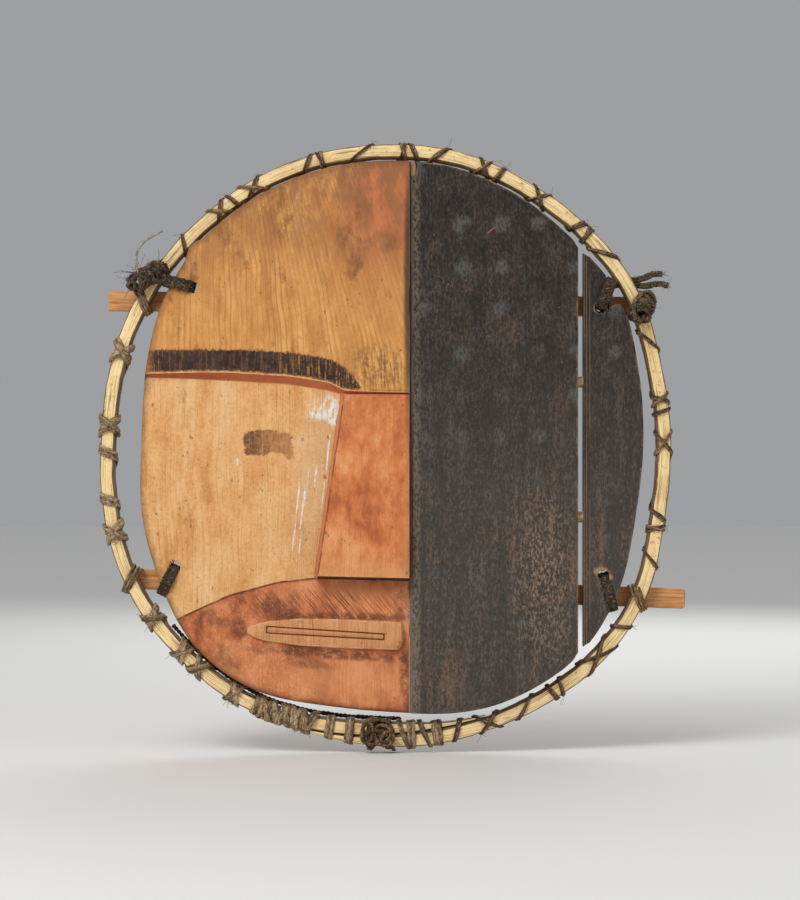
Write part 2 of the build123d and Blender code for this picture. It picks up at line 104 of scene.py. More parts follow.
def buildStage():
    scene = bpy.context.scene
    scene.view_settings.view_transform = "Standard"
    lens = bpy.data.cameras.new("frontView")
    lens.sensor_width = 36
    lens.lens = 36 * view["distance"] / view["tall"]
    lens.clip_end = 30
    camera = bpy.data.objects.new("frontView", lens)
    scene.collection.objects.link(camera)
    camera.location = (view["across"], view["depthAim"] - view["distance"], view["up"])
    camera.rotation_euler = (math.radians(90), 0, 0)
    scene.camera = camera
    world = bpy.data.worlds.new("paleRoom")
    scene.world = world
    world.use_nodes = True
    sky = world.node_tree.nodes["Background"]
    sky.inputs["Color"].default_value = (*light["sky"], 1)
    sky.inputs["Strength"].default_value = light["skyStrength"]
    for part in ("key", "fill", "back"):
        addLight(part, (0, 0, hoopMiddleUp))
    sun = bpy.data.lights.new("softSun", "SUN")
    sun.energy = light["sunPower"]
    sun.angle = light["sunSpread"]
    high = bpy.data.objects.new("softSun", sun)
    scene.collection.objects.link(high)
    high.rotation_euler = Vector(light["sunPlace"]).to_track_quat("Z", "Y").to_euler()
    half = light["floorSize"] / 2
    low = cadBox[0][2]
    floorMesh = bpy.data.meshes.new("floor")
    corners = [(-half, -half, low), (half, -half, low), (half, half, low), (-half, half, low)]
    floorMesh.from_pydata(corners, [], [(0, 1, 2, 3)])
    floor = bpy.data.objects.new("floor", floorMesh)
    scene.collection.objects.link(floor)
    plain = bpy.data.materials.new("paleFloor")
    plain.use_nodes = True
    shader = plain.node_tree.nodes["Principled BSDF"]
    shader.inputs["Base Color"].default_value = (*light["floorColour"], 1)
    shader.inputs["Roughness"].default_value = 0.9
    floorMesh.materials.append(plain)
    print("stage set")


buildStage()


# Outlines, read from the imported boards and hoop
def treeOf(node):
    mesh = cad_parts[node].data
    return BVHTree.FromPolygons([v.co.copy() for v in mesh.vertices],
                                [tuple(p.vertices) for p in mesh.polygons])


outlineSteps = 720
outlineForward = 0.0155  # where the outlines are read, in front of the wall
smoothSteps = 7


def castRadii(nodes, outside):
    # distance from the hoop's centre to a surface, all the way round
    trees = [treeOf(node) for node in nodes]
    radii = np.zeros(outlineSteps)
    middle = Vector((0, -outlineForward, hoopMiddleUp))
    for index in range(outlineSteps):
        turn = 2 * math.pi * index / outlineSteps
        away = Vector((math.cos(turn), 0, math.sin(turn)))
        hits = []
        for tree in trees:
            start = middle + away * 0.4 if outside else middle
            hit = tree.ray_cast(start, -away if outside else away)
            if hit[0] is not None:
                hits.append((hit[0] - middle).length)
        radii[index] = max(hits)
    reach = smoothSteps // 2
    wrapped = np.concatenate([radii[-reach:], radii, radii[:reach]])
    return np.convolve(wrapped, np.ones(smoothSteps) / smoothSteps, "valid")


boards = ("face_board", "middle_board", "narrow_board")
boardRadii = castRadii(boards, True)
hoopOuterRadii = castRadii(("hoop",), True)
hoopInnerRadii = castRadii(("hoop",), False)


def polar(radii, turn):
    # radius at any angle, in radians
    place = (np.asarray(turn) / (2 * math.pi) % 1) * outlineSteps
    low = np.floor(place).astype(int) % outlineSteps
    part = place - np.floor(place)
    return radii[low] * (1 - part) + radii[(low + 1) % outlineSteps] * part


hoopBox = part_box("hoop")
halfRod = 0.006
hoopHalfWide = (hoopBox[1].x - hoopBox[0].x) / 2 - halfRod
hoopHalfTall = (hoopBox[1].z - hoopBox[0].z) / 2 - halfRod


def turnOf(step):
    # the true angle of a station round the hoop, from its ellipse angle in degrees
    step = np.radians(np.asarray(step, float))
    laps = np.floor((step + math.pi) / (2 * math.pi))
    return np.arctan2(hoopHalfTall * np.sin(step), hoopHalfWide * np.cos(step)) + laps * 2 * math.pi


def rodMiddle(turn):
    radius = (polar(hoopOuterRadii, turn) + polar(hoopInnerRadii, turn)) / 2
    return np.stack([radius * np.cos(turn), radius * np.sin(turn)], -1)


def rodOutward(turn):
    along = rodMiddle(turn + 0.012) - rodMiddle(turn - 0.012)
    away = np.stack([along[..., 1], -along[..., 0]], -1)
    return away / np.linalg.norm(away, axis=-1, keepdims=True)


def rodHalf(turn):
    return (polar(hoopOuterRadii, turn) - polar(hoopInnerRadii, turn)) / 2


def onRod(turn, outward, forward):
    # points by the rod: how far round, how far out from its middle, how far forward of the wall
    turn, outward, forward = (np.asarray(v, float) for v in (turn, outward, forward))
    flat = rodMiddle(turn) + rodOutward(turn) * outward[..., None]
    return np.stack([flat[..., 0], -forward, flat[..., 1] + hoopMiddleUp], -1)


print("outlines read")


# Unevenness and meshes
def waver(values, scale, seed, power=0.6):
    # smooth one-way wander, about one unit high
    draw = np.random.default_rng(seed)
    total = np.zeros_like(np.asarray(values, float))
    for octave in range(4):
        for _ in range(3):
            pitch = scale / 2 ** octave * draw.uniform(0.7, 1.4)
            total += power ** octave * np.sin(2 * math.pi * (values / pitch + draw.uniform()))
    return total / 3.2


def ripple(x, z, scaleX, scaleZ, seed):
    # smooth two-way unevenness, about one unit high
    draw = np.random.default_rng(seed)
    total = np.zeros_like(x)
    for octave in range(4):
        for _ in range(4):
            facing = draw.uniform(0, 2 * math.pi)
            pitch = 2 ** octave * draw.uniform(0.8, 1.3)
            phase = draw.uniform(0, 2 * math.pi)
            reach = x / scaleX * math.cos(facing) + z / scaleZ * math.sin(facing)
            total += 0.6 ** octave * np.sin(2 * math.pi * pitch * reach + phase)
    return total / 4


def makePiece(name, points, faces, finish, replaced, marks=None, sharp=0.6):
    mesh = bpy.data.meshes.new(name)
    mesh.from_pydata([tuple(p) for p in points], [], faces)
    for markName, values in (marks or {}).items():
        mark = mesh.attributes.new(markName, "FLOAT", "POINT")
        mark.data.foreach_set("value", np.asarray(values, np.float32))
    mesh.polygons.foreach_set("use_smooth", [True] * len(mesh.polygons))
    if sharp:
        mesh.set_sharp_from_angle(angle=sharp)
    mesh.materials.append(finish)
    mesh.update()
    piece = bpy.data.objects.new(name, mesh)
    bpy.context.scene.collection.objects.link(piece)
    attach(piece, "root")
    if replaced:
        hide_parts(*replaced)
    return piece


# Short hands for a finish's shader nodes
class Finish:
    def __init__(self, name, roughness, specular=0.35):
        self.material = bpy.data.materials.new(name)
        self.material.use_nodes = True
        self.tree = self.material.node_tree
        self.shader = self.tree.nodes["Principled BSDF"]
        self.shader.inputs["Roughness"].default_value = roughness
        self.shader.inputs["Specular IOR Level"].default_value = specular
        self.place = self.tree.nodes.new("ShaderNodeTexCoord").outputs["Object"]
        self.base = None  # the colour so far

    def put(self, socket, value):
        if isinstance(value, bpy.types.NodeSocket):
            self.tree.links.new(value, socket)
        elif isinstance(value, (tuple, list)) and socket.type == "RGBA":
            socket.default_value = (*value, 1) if len(value) == 3 else value
        else:
            socket.default_value = value

    def work(self, operation, a, b=0.0, c=0.0):
        node = self.tree.nodes.new("ShaderNodeMath")
        node.operation = operation
        for socket, value in zip(node.inputs, (a, b, c)):
            self.put(socket, value)
        return node.outputs[0]

    def times(self, first, *others):
        for other in others:
            first = self.work("MULTIPLY", first, other)
        return first

    def add(self, a, b):
        return self.work("ADD", a, b)

    def less(self, a, b):
        return self.work("SUBTRACT", a, b)

    def timesAdd(self, a, b, c):
        return self.work("MULTIPLY_ADD", a, b, c)

    def mark(self, name):
        node = self.tree.nodes.new("ShaderNodeAttribute")
        node.attribute_name = name
        return node.outputs["Fac"]

    def split(self, vector):
        node = self.tree.nodes.new("ShaderNodeSeparateXYZ")
        self.put(node.inputs[0], vector)
        return node.outputs[0], node.outputs[1], node.outputs[2]

    def join(self, x, y, z):
        node = self.tree.nodes.new("ShaderNodeCombineXYZ")
        for socket, value in zip(node.inputs, (x, y, z)):
            self.put(socket, value)
        return node.outputs[0]

    def stretch(self, vector, scale):
        node = self.tree.nodes.new("ShaderNodeMapping")
        self.put(node.inputs["Vector"], vector)
        node.inputs["Scale"].default_value = scale
        return node.outputs[0]

    def grainy(self, vector, scale, detail=3.0, rough=0.55):
        node = self.tree.nodes.new("ShaderNodeTexNoise")
        self.put(node.inputs["Vector"], vector)
        node.inputs["Scale"].default_value = scale
        node.inputs["Detail"].default_value = detail
        node.inputs["Roughness"].default_value = rough
        return node.outputs["Fac"]

    def between(self, value, low, high):
        # 0 at low, 1 at high, eased between
        node = self.tree.nodes.new("ShaderNodeMapRange")
        node.interpolation_type = "SMOOTHSTEP"
        self.put(node.inputs["Value"], value)
        self.put(node.inputs["From Min"], low)
        self.put(node.inputs["From Max"], high)
        return node.outputs["Result"]

    def near(self, value, place, wide, narrow):
        # 1 within narrow of a place, 0 beyond wide of it
        return self.between(self.work("ABSOLUTE", self.less(value, place)), wide, narrow)

    def blend(self, amount, a, b):
        node = self.tree.nodes.new("ShaderNodeMix")
        node.data_type = "RGBA"
        self.put(node.inputs["Factor"], amount)
        self.put(node.inputs["A"], a)
        self.put(node.inputs["B"], b)
        return node.outputs["Result"]

    def over(self, paint, *amounts):
        # lays a paint over what is there, by the product of its amounts
        self.base = self.blend(self.times(*amounts), self.base, paint)

    def ramp(self, value, stops):
        node = self.tree.nodes.new("ShaderNodeValToRGB")
        self.put(node.inputs[0], value)
        bar = node.color_ramp
        while len(bar.elements) < len(stops):
            bar.elements.new(0.5)
        for element, (place, colour) in zip(bar.elements, stops):
            element.position = place
            element.color = (*colour, 1)
        return node.outputs["Color"]

    def patch(self, centre, size, soft=0.5, tilt=0.0, wobble=0.0, wobbleScale=60.0):
        # a soft-edged oval of colour on the front: 1 inside, 0 outside; sizes in metres
        x, _, z = self.split(self.place)
        across = self.less(x, centre[0])
        up = self.less(z, centre[1] + hoopMiddleUp)
        c, s = math.cos(math.radians(tilt)), math.sin(math.radians(tilt))
        u = self.add(self.times(across, c / size[0]), self.times(up, s / size[0]))
        v = self.less(self.times(up, c / size[1]), self.times(across, s / size[1]))
        reach = self.work("SQRT", self.add(self.times(u, u), self.times(v, v)))
        if wobble:
            uneven = self.less(self.grainy(self.place, wobbleScale, 4.0, 0.65), 0.5)
            reach = self.timesAdd(uneven, wobble, reach)
        return self.between(reach, 1 + soft / 2, 1 - soft / 2)

    def bump(self, height, strength, distance):
        node = self.tree.nodes.new("ShaderNodeBump")
        node.inputs["Strength"].default_value = strength
        node.inputs["Distance"].default_value = distance
        self.put(node.inputs["Height"], height)
        self.put(self.shader.inputs["Normal"], node.outputs[0])

    def paintIt(self):
        self.put(self.shader.inputs["Base Color"], self.base)

    def rough(self, value):
        self.put(self.shader.inputs["Roughness"], value)


# The boards' common outline
edgeTurns = np.arange(outlineSteps) * 2 * math.pi / outlineSteps
edgeX = boardRadii * np.cos(edgeTurns) / mm
edgeZ = boardRadii * np.sin(edgeTurns) / mm
leftMost = int(np.argmin(edgeX))
rightMost = int(np.argmax(edgeX))


def branch(indices):
    order = np.argsort(edgeX[indices])
    return edgeX[indices][order], edgeZ[indices][order]


allSteps = np.arange(outlineSteps)
firstStep = rightMost if rightMost < outlineSteps // 2 else 0
upperSteps = allSteps[(allSteps <= leftMost) & (allSteps >= firstStep)]
lowerSteps = np.setdiff1d(allSteps, upperSteps)
upperBranch = branch(np.append(upperSteps, [rightMost]))
lowerBranch = branch(np.append(lowerSteps, [leftMost]))


def topOf(x):
    return np.interp(x, *upperBranch)


def bottomOf(x):
    return np.interp(x, *lowerBranch)


def edgeDistance(x, z):
    # how far in from the boards' common outline, in mm
    turn = np.arctan2(z, x)
    return polar(boardRadii, turn) / mm - np.hypot(x, z)


def tieEnds(node, acrossSign, upSign):
    # a tie's hole and its far side, from its packed box
    radius = 1.8 * mm
    low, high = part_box(node)
    xs = (low.x + radius, high.x - radius)
    zs = (low.z + radius, high.z - radius)
    hole = (xs[0] if acrossSign > 0 else xs[1], zs[0] if upSign > 0 else zs[1])
    far = (xs[1] if acrossSign > 0 else xs[0], zs[1] if upSign > 0 else zs[0])
    return [np.array([p[0], p[1] - hoopMiddleUp]) / mm for p in (hole, far)]


# Each tie's hole and its far end; the signs say which way it runs from the hole, across and up
tieSpots = {
    "upper_left_tie": tieEnds("upper_left_tie", -1, 1),
    "upper_right_tie": tieEnds("upper_right_tie", 1, 1),
    "lower_left_tie": tieEnds("lower_left_tie", -1, -1),
    "lower_right_tie": tieEnds("lower_right_tie", 1, -1),
}

# The carved face board, in mm from the hoop's centre; each carved line is a row of (across, up) points
carving = {
    "columns": 148,
    "back": 8.0,
    "cheek": 26.0,
    "foreheadRise": 5.0,
    "noseRise": 14.0,
    "muzzleSink": 1.5,
    "lipRise": 5.0,
    "mouthGroove": 1.3,
    "edgeRound": 3.2,
    "holeRadius": 4.7,
    "brow": ((-215, 54), (-190, 55), (-157, 56), (-125, 56), (-77, 53), (-45, 48), (-33, 41.5), (20, 40)),
    "browFoot": ((-215, 53), (-190, 53), (-157, 51.8), (-125, 50.2), (-77, 47.4), (-45, 42), (-33, 38.5),
                 (20, 38.5)),
    "muzzle": ((-215, -170), (-175, -146), (-161, -138), (-125, -121.5), (-85, -111), (-54, -107.8),
               (20, -109.5)),
    "lipHigh": ((-215, -150), (-112, -149), (-105, -145), (-95, -142.5), (-69, -140.2), (-30, -141),
                (20, -143.5)),
    "lipLow": ((-215, -152), (-112, -150.5), (-106, -154), (-99, -156.8), (-70, -161), (-30, -163.4),
               (9.6, -164.6), (20, -164.8)),
    "mouthHigh": ((-215, -150.6), (-112, -149.5), (-95, -146.2), (-1.6, -152.4), (20, -153.8)),
    "mouthLow": ((-215, -151.4), (-112, -150), (-95, -151.4), (-1.6, -156.8), (20, -158.2)),
    "ringWide": 4.6,
    "lipEnd": 13.4,
    "browTop": ((-215, 73.6), (-190, 74.6), (-150, 75), (-100, 74.5), (-75, 72.4), (-56, 69.8),
                (-48, 68.3), (-40, 65.5), (-31, 59), (-24, 52), (-20, 44.5), (-16, 40), (20, 38)),
    "eye": ((-113.8, 7.8), (-104, 9.8), (-93.7, 11), (-84, 8.4), (-75.8, 6.8), (-73.6, -12.4),
            (-78, -13), (-81.3, -8.6), (-92.3, -7.5), (-95.1, -9.7), (-113, -9.7)),
    "mouthEnds": (-95.0, -1.6),
    "noseTop": (-33.0, 41.0),
    "noseBottom": (-54.5, -107.5),
}


def curve(name, x):
    points = carving[name]
    xs = np.array([p[0] for p in points], float)
    zs = np.array([p[1] for p in points], float)
    fine = np.linspace(xs[0], xs[-1], 400)
    line = np.interp(fine, xs, zs)
    padded = np.concatenate([np.full(6, line[0]), line, np.full(6, line[-1])])
    line = np.convolve(padded, np.ones(13) / 13, "valid")
    return np.interp(x, fine, line)


def noseEdge(z):
    (x0, z0), (x1, z1) = carving["noseTop"], carving["noseBottom"]
    share = np.clip((z0 - z) / (z0 - z1), 0, 1)
    return x0 + (x1 - x0) * share


def easeTo(value, low, high):
    share = np.clip((value - low) / (high - low), 0, 1)
    return share * share * (3 - 2 * share)


def ramp01(value, low, high):
    return np.clip((value - low) / (high - low), 0, 1)


def faceForward(x, z):
    # the carved front of the face board, in mm forward of the wall
    brow, foot = curve("brow", x), curve("browFoot", x)
    muzzle = curve("muzzle", x)
    cheek = carving["cheek"] + 0.0 * x
    forward = cheek + carving["foreheadRise"] * ramp01(z, foot, brow)
    forward -= 1.2 * np.exp(-((x + 130) / 80) ** 2 - ((z + 30) / 70) ** 2)  # the cheek is slightly hollow
    share = np.clip((carving["noseTop"][1] - z) / (carving["noseTop"][1] - carving["noseBottom"][1]), 0, 1)
    noseHigh = carving["foreheadRise"] + (carving["noseRise"] - carving["foreheadRise"]) * share
    onNose = ramp01(x, noseEdge(z) - 2.4, noseEdge(z)) * (z < foot + 0.01) * (z > muzzle + 0.5)
    forward = np.where(z < foot + 0.01, np.maximum(forward, carving["cheek"] + noseHigh * onNose), forward)
    below = ramp01(z, muzzle + 0.3, muzzle - 0.9)
    sink = carving["muzzleSink"] - 2.2 * easeTo(muzzle - z, 4, 32) * easeTo(x, -190, -120)
    forward = np.where(z < muzzle + 0.31, carving["cheek"] - sink * below, forward)
    lipHigh, lipLow = curve("lipHigh", x), curve("lipLow", x)
    inside = np.minimum(lipHigh - z, z - lipLow)
    tip = np.sqrt(np.clip((x + 112) / 9, 0, 1))
    cut = carving["lipEnd"] - x - 0.42 * np.clip(-157.5 - z, 0, None)
    lips = ramp01(inside, -1.1, 0.15) * tip * ramp01(cut, 0, 1.2)
    bulge = 0.5 * easeTo(inside, 0, 8)
    forward = forward + lips * (carving["lipRise"] - carving["muzzleSink"] + bulge)
    high, low = curve("mouthHigh", x), curve("mouthLow", x)
    left, right = carving["mouthEnds"]
    withinMouth = (x > left - 0.8) & (x < right + 0.8)
    line = np.minimum(np.abs(z - high), np.abs(z - low))
    ends = np.minimum(np.minimum(np.abs(x - left), np.abs(x - right)),
                      np.minimum(np.abs(x - left - 9), np.abs(x - right + 9)))
    within = (z < high + 0.5) & (z > low - 0.5)
    groove = np.maximum((1 - ramp01(line, 0.3, 0.85)) * withinMouth, (1 - ramp01(ends, 0.3, 1.1)) * within)
    forward = forward - groove * carving["mouthGroove"] * lips
    forward += 0.5 * ramp01(np.minimum(high - z, z - low), 0.8, 2.6) * withinMouth * lips
    return forward


def edgeDrop(distance, radius):
    near = np.clip(radius - distance, 0, radius)
    return radius - np.sqrt(np.maximum(radius ** 2 - near ** 2, 0))


def spread(count, fineStart, fineEnd):
    # 0 to 1 in steps, closer together at the ends that ask for it
    share = np.linspace(0, 1, count + 1)
    if fineStart and fineEnd:
        return share - 0.85 * np.sin(2 * math.pi * share) / (2 * math.pi)
    if fineStart:
        return share ** 1.7
    if fineEnd:
        return 1 - (1 - share) ** 1.7
    return share


def rowHeights(x, bands):
    # heights of every row at each column; a band is (curve, rows below it, fine at start, fine at end)
    low = bottomOf(x)
    high = topOf(x)
    rows = [low]
    start = low
    total = len(bands)
    for number, (line, count, fineStart, fineEnd) in enumerate(bands):
        limit = high if line is None else line(x)
        room = (high - low) * 0.004 + 0.01
        limit = np.clip(limit, low + room * (number + 1), high - room * (total - 1 - number))
        limit = np.maximum(limit, start + room * 0.5)
        for share in spread(count, fineStart, fineEnd)[1:]:
            rows.append(start + (limit - start) * share)
        start = limit
    return np.stack(rows, 1)


def holeField(x, z, holes, extra=None):
    # distance to the nearest hole's rim, less than 0 inside it
    field = np.full_like(x, 1e3)
    for cx, cz, radius in holes:
        field = np.minimum(field, np.hypot(x - cx, z - cz) - radius)
    if extra is not None:
        field = np.minimum(field, extra(x, z))
    return field


def boardMesh(x, z, forward, holes=(), extra=None, cell=1.5):
    # a closed board from a grid of columns and rows, with its through holes
    field = holeField(x, z, holes, extra)
    step = 0.05
    gx = (holeField(x + step, z, holes, extra) - field) / step
    gz = (holeField(x, z + step, holes, extra) - field) / step
    near = np.abs(field) < 0.62 * cell
    x = np.where(near, x - field * gx, x)
    z = np.where(near, z - field * gz, z)
    columns, rows = x.shape
    front = np.stack([x * mm, -forward(x, z) * mm, z * mm + hoopMiddleUp], -1).reshape(-1, 3)
    backPlane = carving["back"] + 0.12 * ripple(x, z, 90, 260, 31) + 0.15
    behind = np.stack([x * mm, -backPlane * mm, z * mm + hoopMiddleUp], -1).reshape(-1, 3)
    index = np.arange(columns * rows).reshape(columns, rows)
    a, b, c, d = index[:-1, :-1], index[1:, :-1], index[1:, 1:], index[:-1, 1:]
    middleX = (x[:-1, :-1] + x[1:, :-1] + x[1:, 1:] + x[:-1, 1:]) / 4
    middleZ = (z[:-1, :-1] + z[1:, :-1] + z[1:, 1:] + z[:-1, 1:]) / 4
    keep = holeField(middleX, middleZ, holes, extra) > 0
    quads = np.stack([a[keep], b[keep], c[keep], d[keep]], -1)
    offset = columns * rows
    edges = np.concatenate([quads[:, [0, 1]], quads[:, [1, 2]], quads[:, [2, 3]], quads[:, [3, 0]]])
    key = edges.min(1) * offset + edges.max(1)
    _, first, count = np.unique(key, return_index=True, return_counts=True)
    rim = edges[first[count == 1]]
    walls = np.stack([rim[:, 1], rim[:, 0], rim[:, 0] + offset, rim[:, 1] + offset], -1)
    faces = np.concatenate([quads, quads[:, ::-1] + offset, walls])
    points = np.concatenate([front, behind])
    used = np.unique(faces)
    renumber = np.full(len(points), -1)
    renumber[used] = np.arange(len(used))
    return points[used], renumber[faces].tolist(), x.ravel(), z.ravel(), used, offset


def finishBoard(name, points, faces, finish, node, marks, used, offset):
    # marks hold for the front and the back alike
    marks = {mark: np.concatenate([value, value])[used] for mark, value in marks.items()}
    marks["atBack"] = (used >= offset).astype(float)
    makePiece(name, points, faces, finish, [node], marks, 0.5)
    print(name, len(faces), "faces")


def pinchedColumns(start, end, count, pinchStart, pinchEnd):
    share = np.linspace(0, 1, count + 1)
    if pinchStart:
        share = np.where(share < 0.12, share ** 2 / 0.24 + 0, share - 0.06) / 0.94
    if pinchEnd:
        share = 1 - np.where(share > 0.88, (1 - share) ** 2 / 0.24, 1 - share - 0.06) / 0.94
    return start + (end - start) * share


def insidePolygon(x, z, corners):
    # signed distance to a polygon, less than 0 inside
    best = np.full_like(x, 1e3)
    inside = np.zeros_like(x, bool)
    for (ax, az), (bx, bz) in zip(corners, corners[1:] + corners[:1]):
        ex, ez = bx - ax, bz - az
        share = np.clip(((x - ax) * ex + (z - az) * ez) / (ex * ex + ez * ez), 0, 1)
        best = np.minimum(best, np.hypot(x - ax - ex * share, z - az - ez * share))
        crosses = (az > z) != (bz > z)
        where = ax + (z - az) / np.where(bz == az, 1e-9, bz - az) * ex
        inside ^= crosses & (x < where)
    return np.where(inside, -best, best)


def buildFaceBoard(finish):
    left, right = edgeX.min() + 0.02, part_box("face_board")[1].x / mm
    columns = carving["columns"]
    nominal = pinchedColumns(left, right, columns, True, False)
    noseColumn = int(np.argmin(np.abs(nominal - -42)))
    # the columns near the nose's slanting edge lean with it
    order = np.arange(columns + 1)
    weight = np.where(order <= noseColumn, order / noseColumn, (columns - order) / (columns - noseColumn))
    lipFoot, mouthLine = 1.1, 0.8
    bands = [
        (lambda x: curve("lipLow", x) - lipFoot, 36, True, False),
        (lambda x: curve("lipLow", x), 2, False, False),
        (lambda x: curve("mouthLow", x) - mouthLine, 4, False, False),
        (lambda x: curve("mouthLow", x), 1, False, False),
        (lambda x: curve("mouthLow", x) + mouthLine, 1, False, False),
        (lambda x: curve("mouthHigh", x) - mouthLine, 2, False, False),
        (lambda x: curve("mouthHigh", x), 1, False, False),
        (lambda x: curve("mouthHigh", x) + mouthLine, 1, False, False),
        (lambda x: curve("lipHigh", x), 4, False, False),
        (lambda x: curve("lipHigh", x) + lipFoot, 2, False, False),
        (lambda x: curve("muzzle", x) - 0.9, 20, False, False),
        (lambda x: curve("muzzle", x) + 0.3, 1, False, False),
        (lambda x: curve("muzzle", x) + 0.75, 1, False, False),
        (lambda x: curve("browFoot", x), 92, False, False),
        (lambda x: curve("brow", x), 3, False, False),
        (None, 104, False, True),
    ]
    x = nominal
    for _ in range(3):
        grid = x if x.ndim == 2 else np.repeat(x[:, None], sum(b[1] for b in bands) + 1, 1)
        rows = np.stack([rowHeights(grid[:, j], bands)[:, j] for j in range(grid.shape[1])], 1)
        shift = noseEdge(rows) - nominal[noseColumn]
        x = nominal[:, None] + shift * weight[:, None] ** 2
    z = rows
    holes = [(*tieSpots[tie][0], carving["holeRadius"]) for tie in ("upper_left_tie", "lower_left_tie")]

    def forward(px, pz):
        depth = faceForward(px, pz)
        uneven = 0.16 * ripple(px, pz, 34, 120, 3) + 0.05 * ripple(px, pz, 7, 60, 4)
        distance = np.clip(edgeDistance(px, pz), 0, None)
        seam = np.clip(right - px, 0, None)
        rim = np.clip(np.minimum.reduce([np.hypot(px - h[0], pz - h[1]) - h[2] for h in holes]), 0, None)
        drop = edgeDrop(distance, carving["edgeRound"]) + edgeDrop(seam, 0.6) + edgeDrop(rim, 1.0)
        line = 0.35 * np.exp(-((distance - 5.4) / 0.5) ** 2) * (px < -150)
        return depth + uneven - drop - line

    points, faces, gx, gz, used, offset = boardMesh(x, z, forward, holes)
    wave = easeTo(gx, -160, 10) * 0.0017 * np.clip(gz - 18, 0, None) ** 2
    lipCut = carving["lipEnd"] - gx - 0.42 * np.clip(-157.5 - gz, 0, None)
    marks = {
        "grain": gx + wave + 2.2 * ripple(gx, gz, 160, 260, 11),
        "aboveBrow": gz - curve("brow", gx),
        "aboveFoot": gz - curve("browFoot", gx),
        "besideNose": gx - noseEdge(gz),
        "aboveMuzzle": gz - curve("muzzle", gx),
        "inLips": np.minimum(np.minimum(curve("lipHigh", gx) - gz, gz - curve("lipLow", gx)),
                             np.minimum((gx + 110) * 0.8, lipCut)),
        "inBrow": np.minimum(curve("browTop", gx) - gz, gz - curve("brow", gx) - 0.9),
        "inEye": -insidePolygon(gx, gz, list(carving["eye"])),
        "inMouth": np.minimum(np.minimum(curve("mouthHigh", gx) - gz, gz - curve("mouthLow", gx)),
                              np.minimum(gx - carving["mouthEnds"][0], carving["mouthEnds"][1] - gx)),
        "edgeIn": edgeDistance(gx, gz),
    }
    finishBoard("carved_face_board", points, faces, finish, "face_board", marks, used,
                offset)


# The two dark boards, in mm
darkBoards = {
    "front": 28.0,
    "bevel": 2.8,
    "edgeRound": 1.3,
    "rabbetDeep": 3.0,
    "broken": ((-2.5, -2.0), (-3.0, 3.0), (11, 18), (34, 24), (19, 8), (4.0, -2.5)),
    "grooveHalf": 3.6,
    "grooveDeep": 5.0,
    "spotWide": 0.0304,  # the pitch of the pale spots, in metres
    "spotTall": 0.0340,
}


def darkUneven(x, z):
    return (0.14 * ripple(x, z, 30, 150, 21) + 0.08 * ripple(x, z, 8, 90, 22)
            + 0.05 * ripple(x, z, 3.2, 70, 23))


def buildMiddleBoard(finish):
    low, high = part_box("middle_board")
    left, right = low.x / mm, high.x / mm
    columns = pinchedColumns(left, right, 96, False, False)
    columns[1:4] = left + np.array([0.9, 1.9, 2.9])  # close columns down the bevel
    z = rowHeights(columns, [(None, 300, True, True)])
    x = np.repeat(columns[:, None], z.shape[1], 1)

    def forward(px, pz):
        distance = np.clip(edgeDistance(px, pz), 0, None)
        seam = np.clip(px - left, 0, None)
        gap = np.clip(right - px, 0, None)
        bevel = np.clip(darkBoards["bevel"] - seam, 0, None) * 0.8
        return (darkBoards["front"] + darkUneven(px, pz) - edgeDrop(distance, darkBoards["edgeRound"])
                - edgeDrop(gap, 0.7) - bevel)

    points, faces, gx, gz, used, offset = boardMesh(x, z, forward)
    marks = {
        "grain": gx + 1.6 * ripple(gx, gz, 140, 300, 12),
        "edgeIn": np.minimum(edgeDistance(gx, gz), right - gx),
        "seamIn": gx - left,
        "rabbetIn": gx * 0 + 30,
    }
    finishBoard("dark_middle_board", points, faces, finish, "middle_board", marks, used,
                offset)


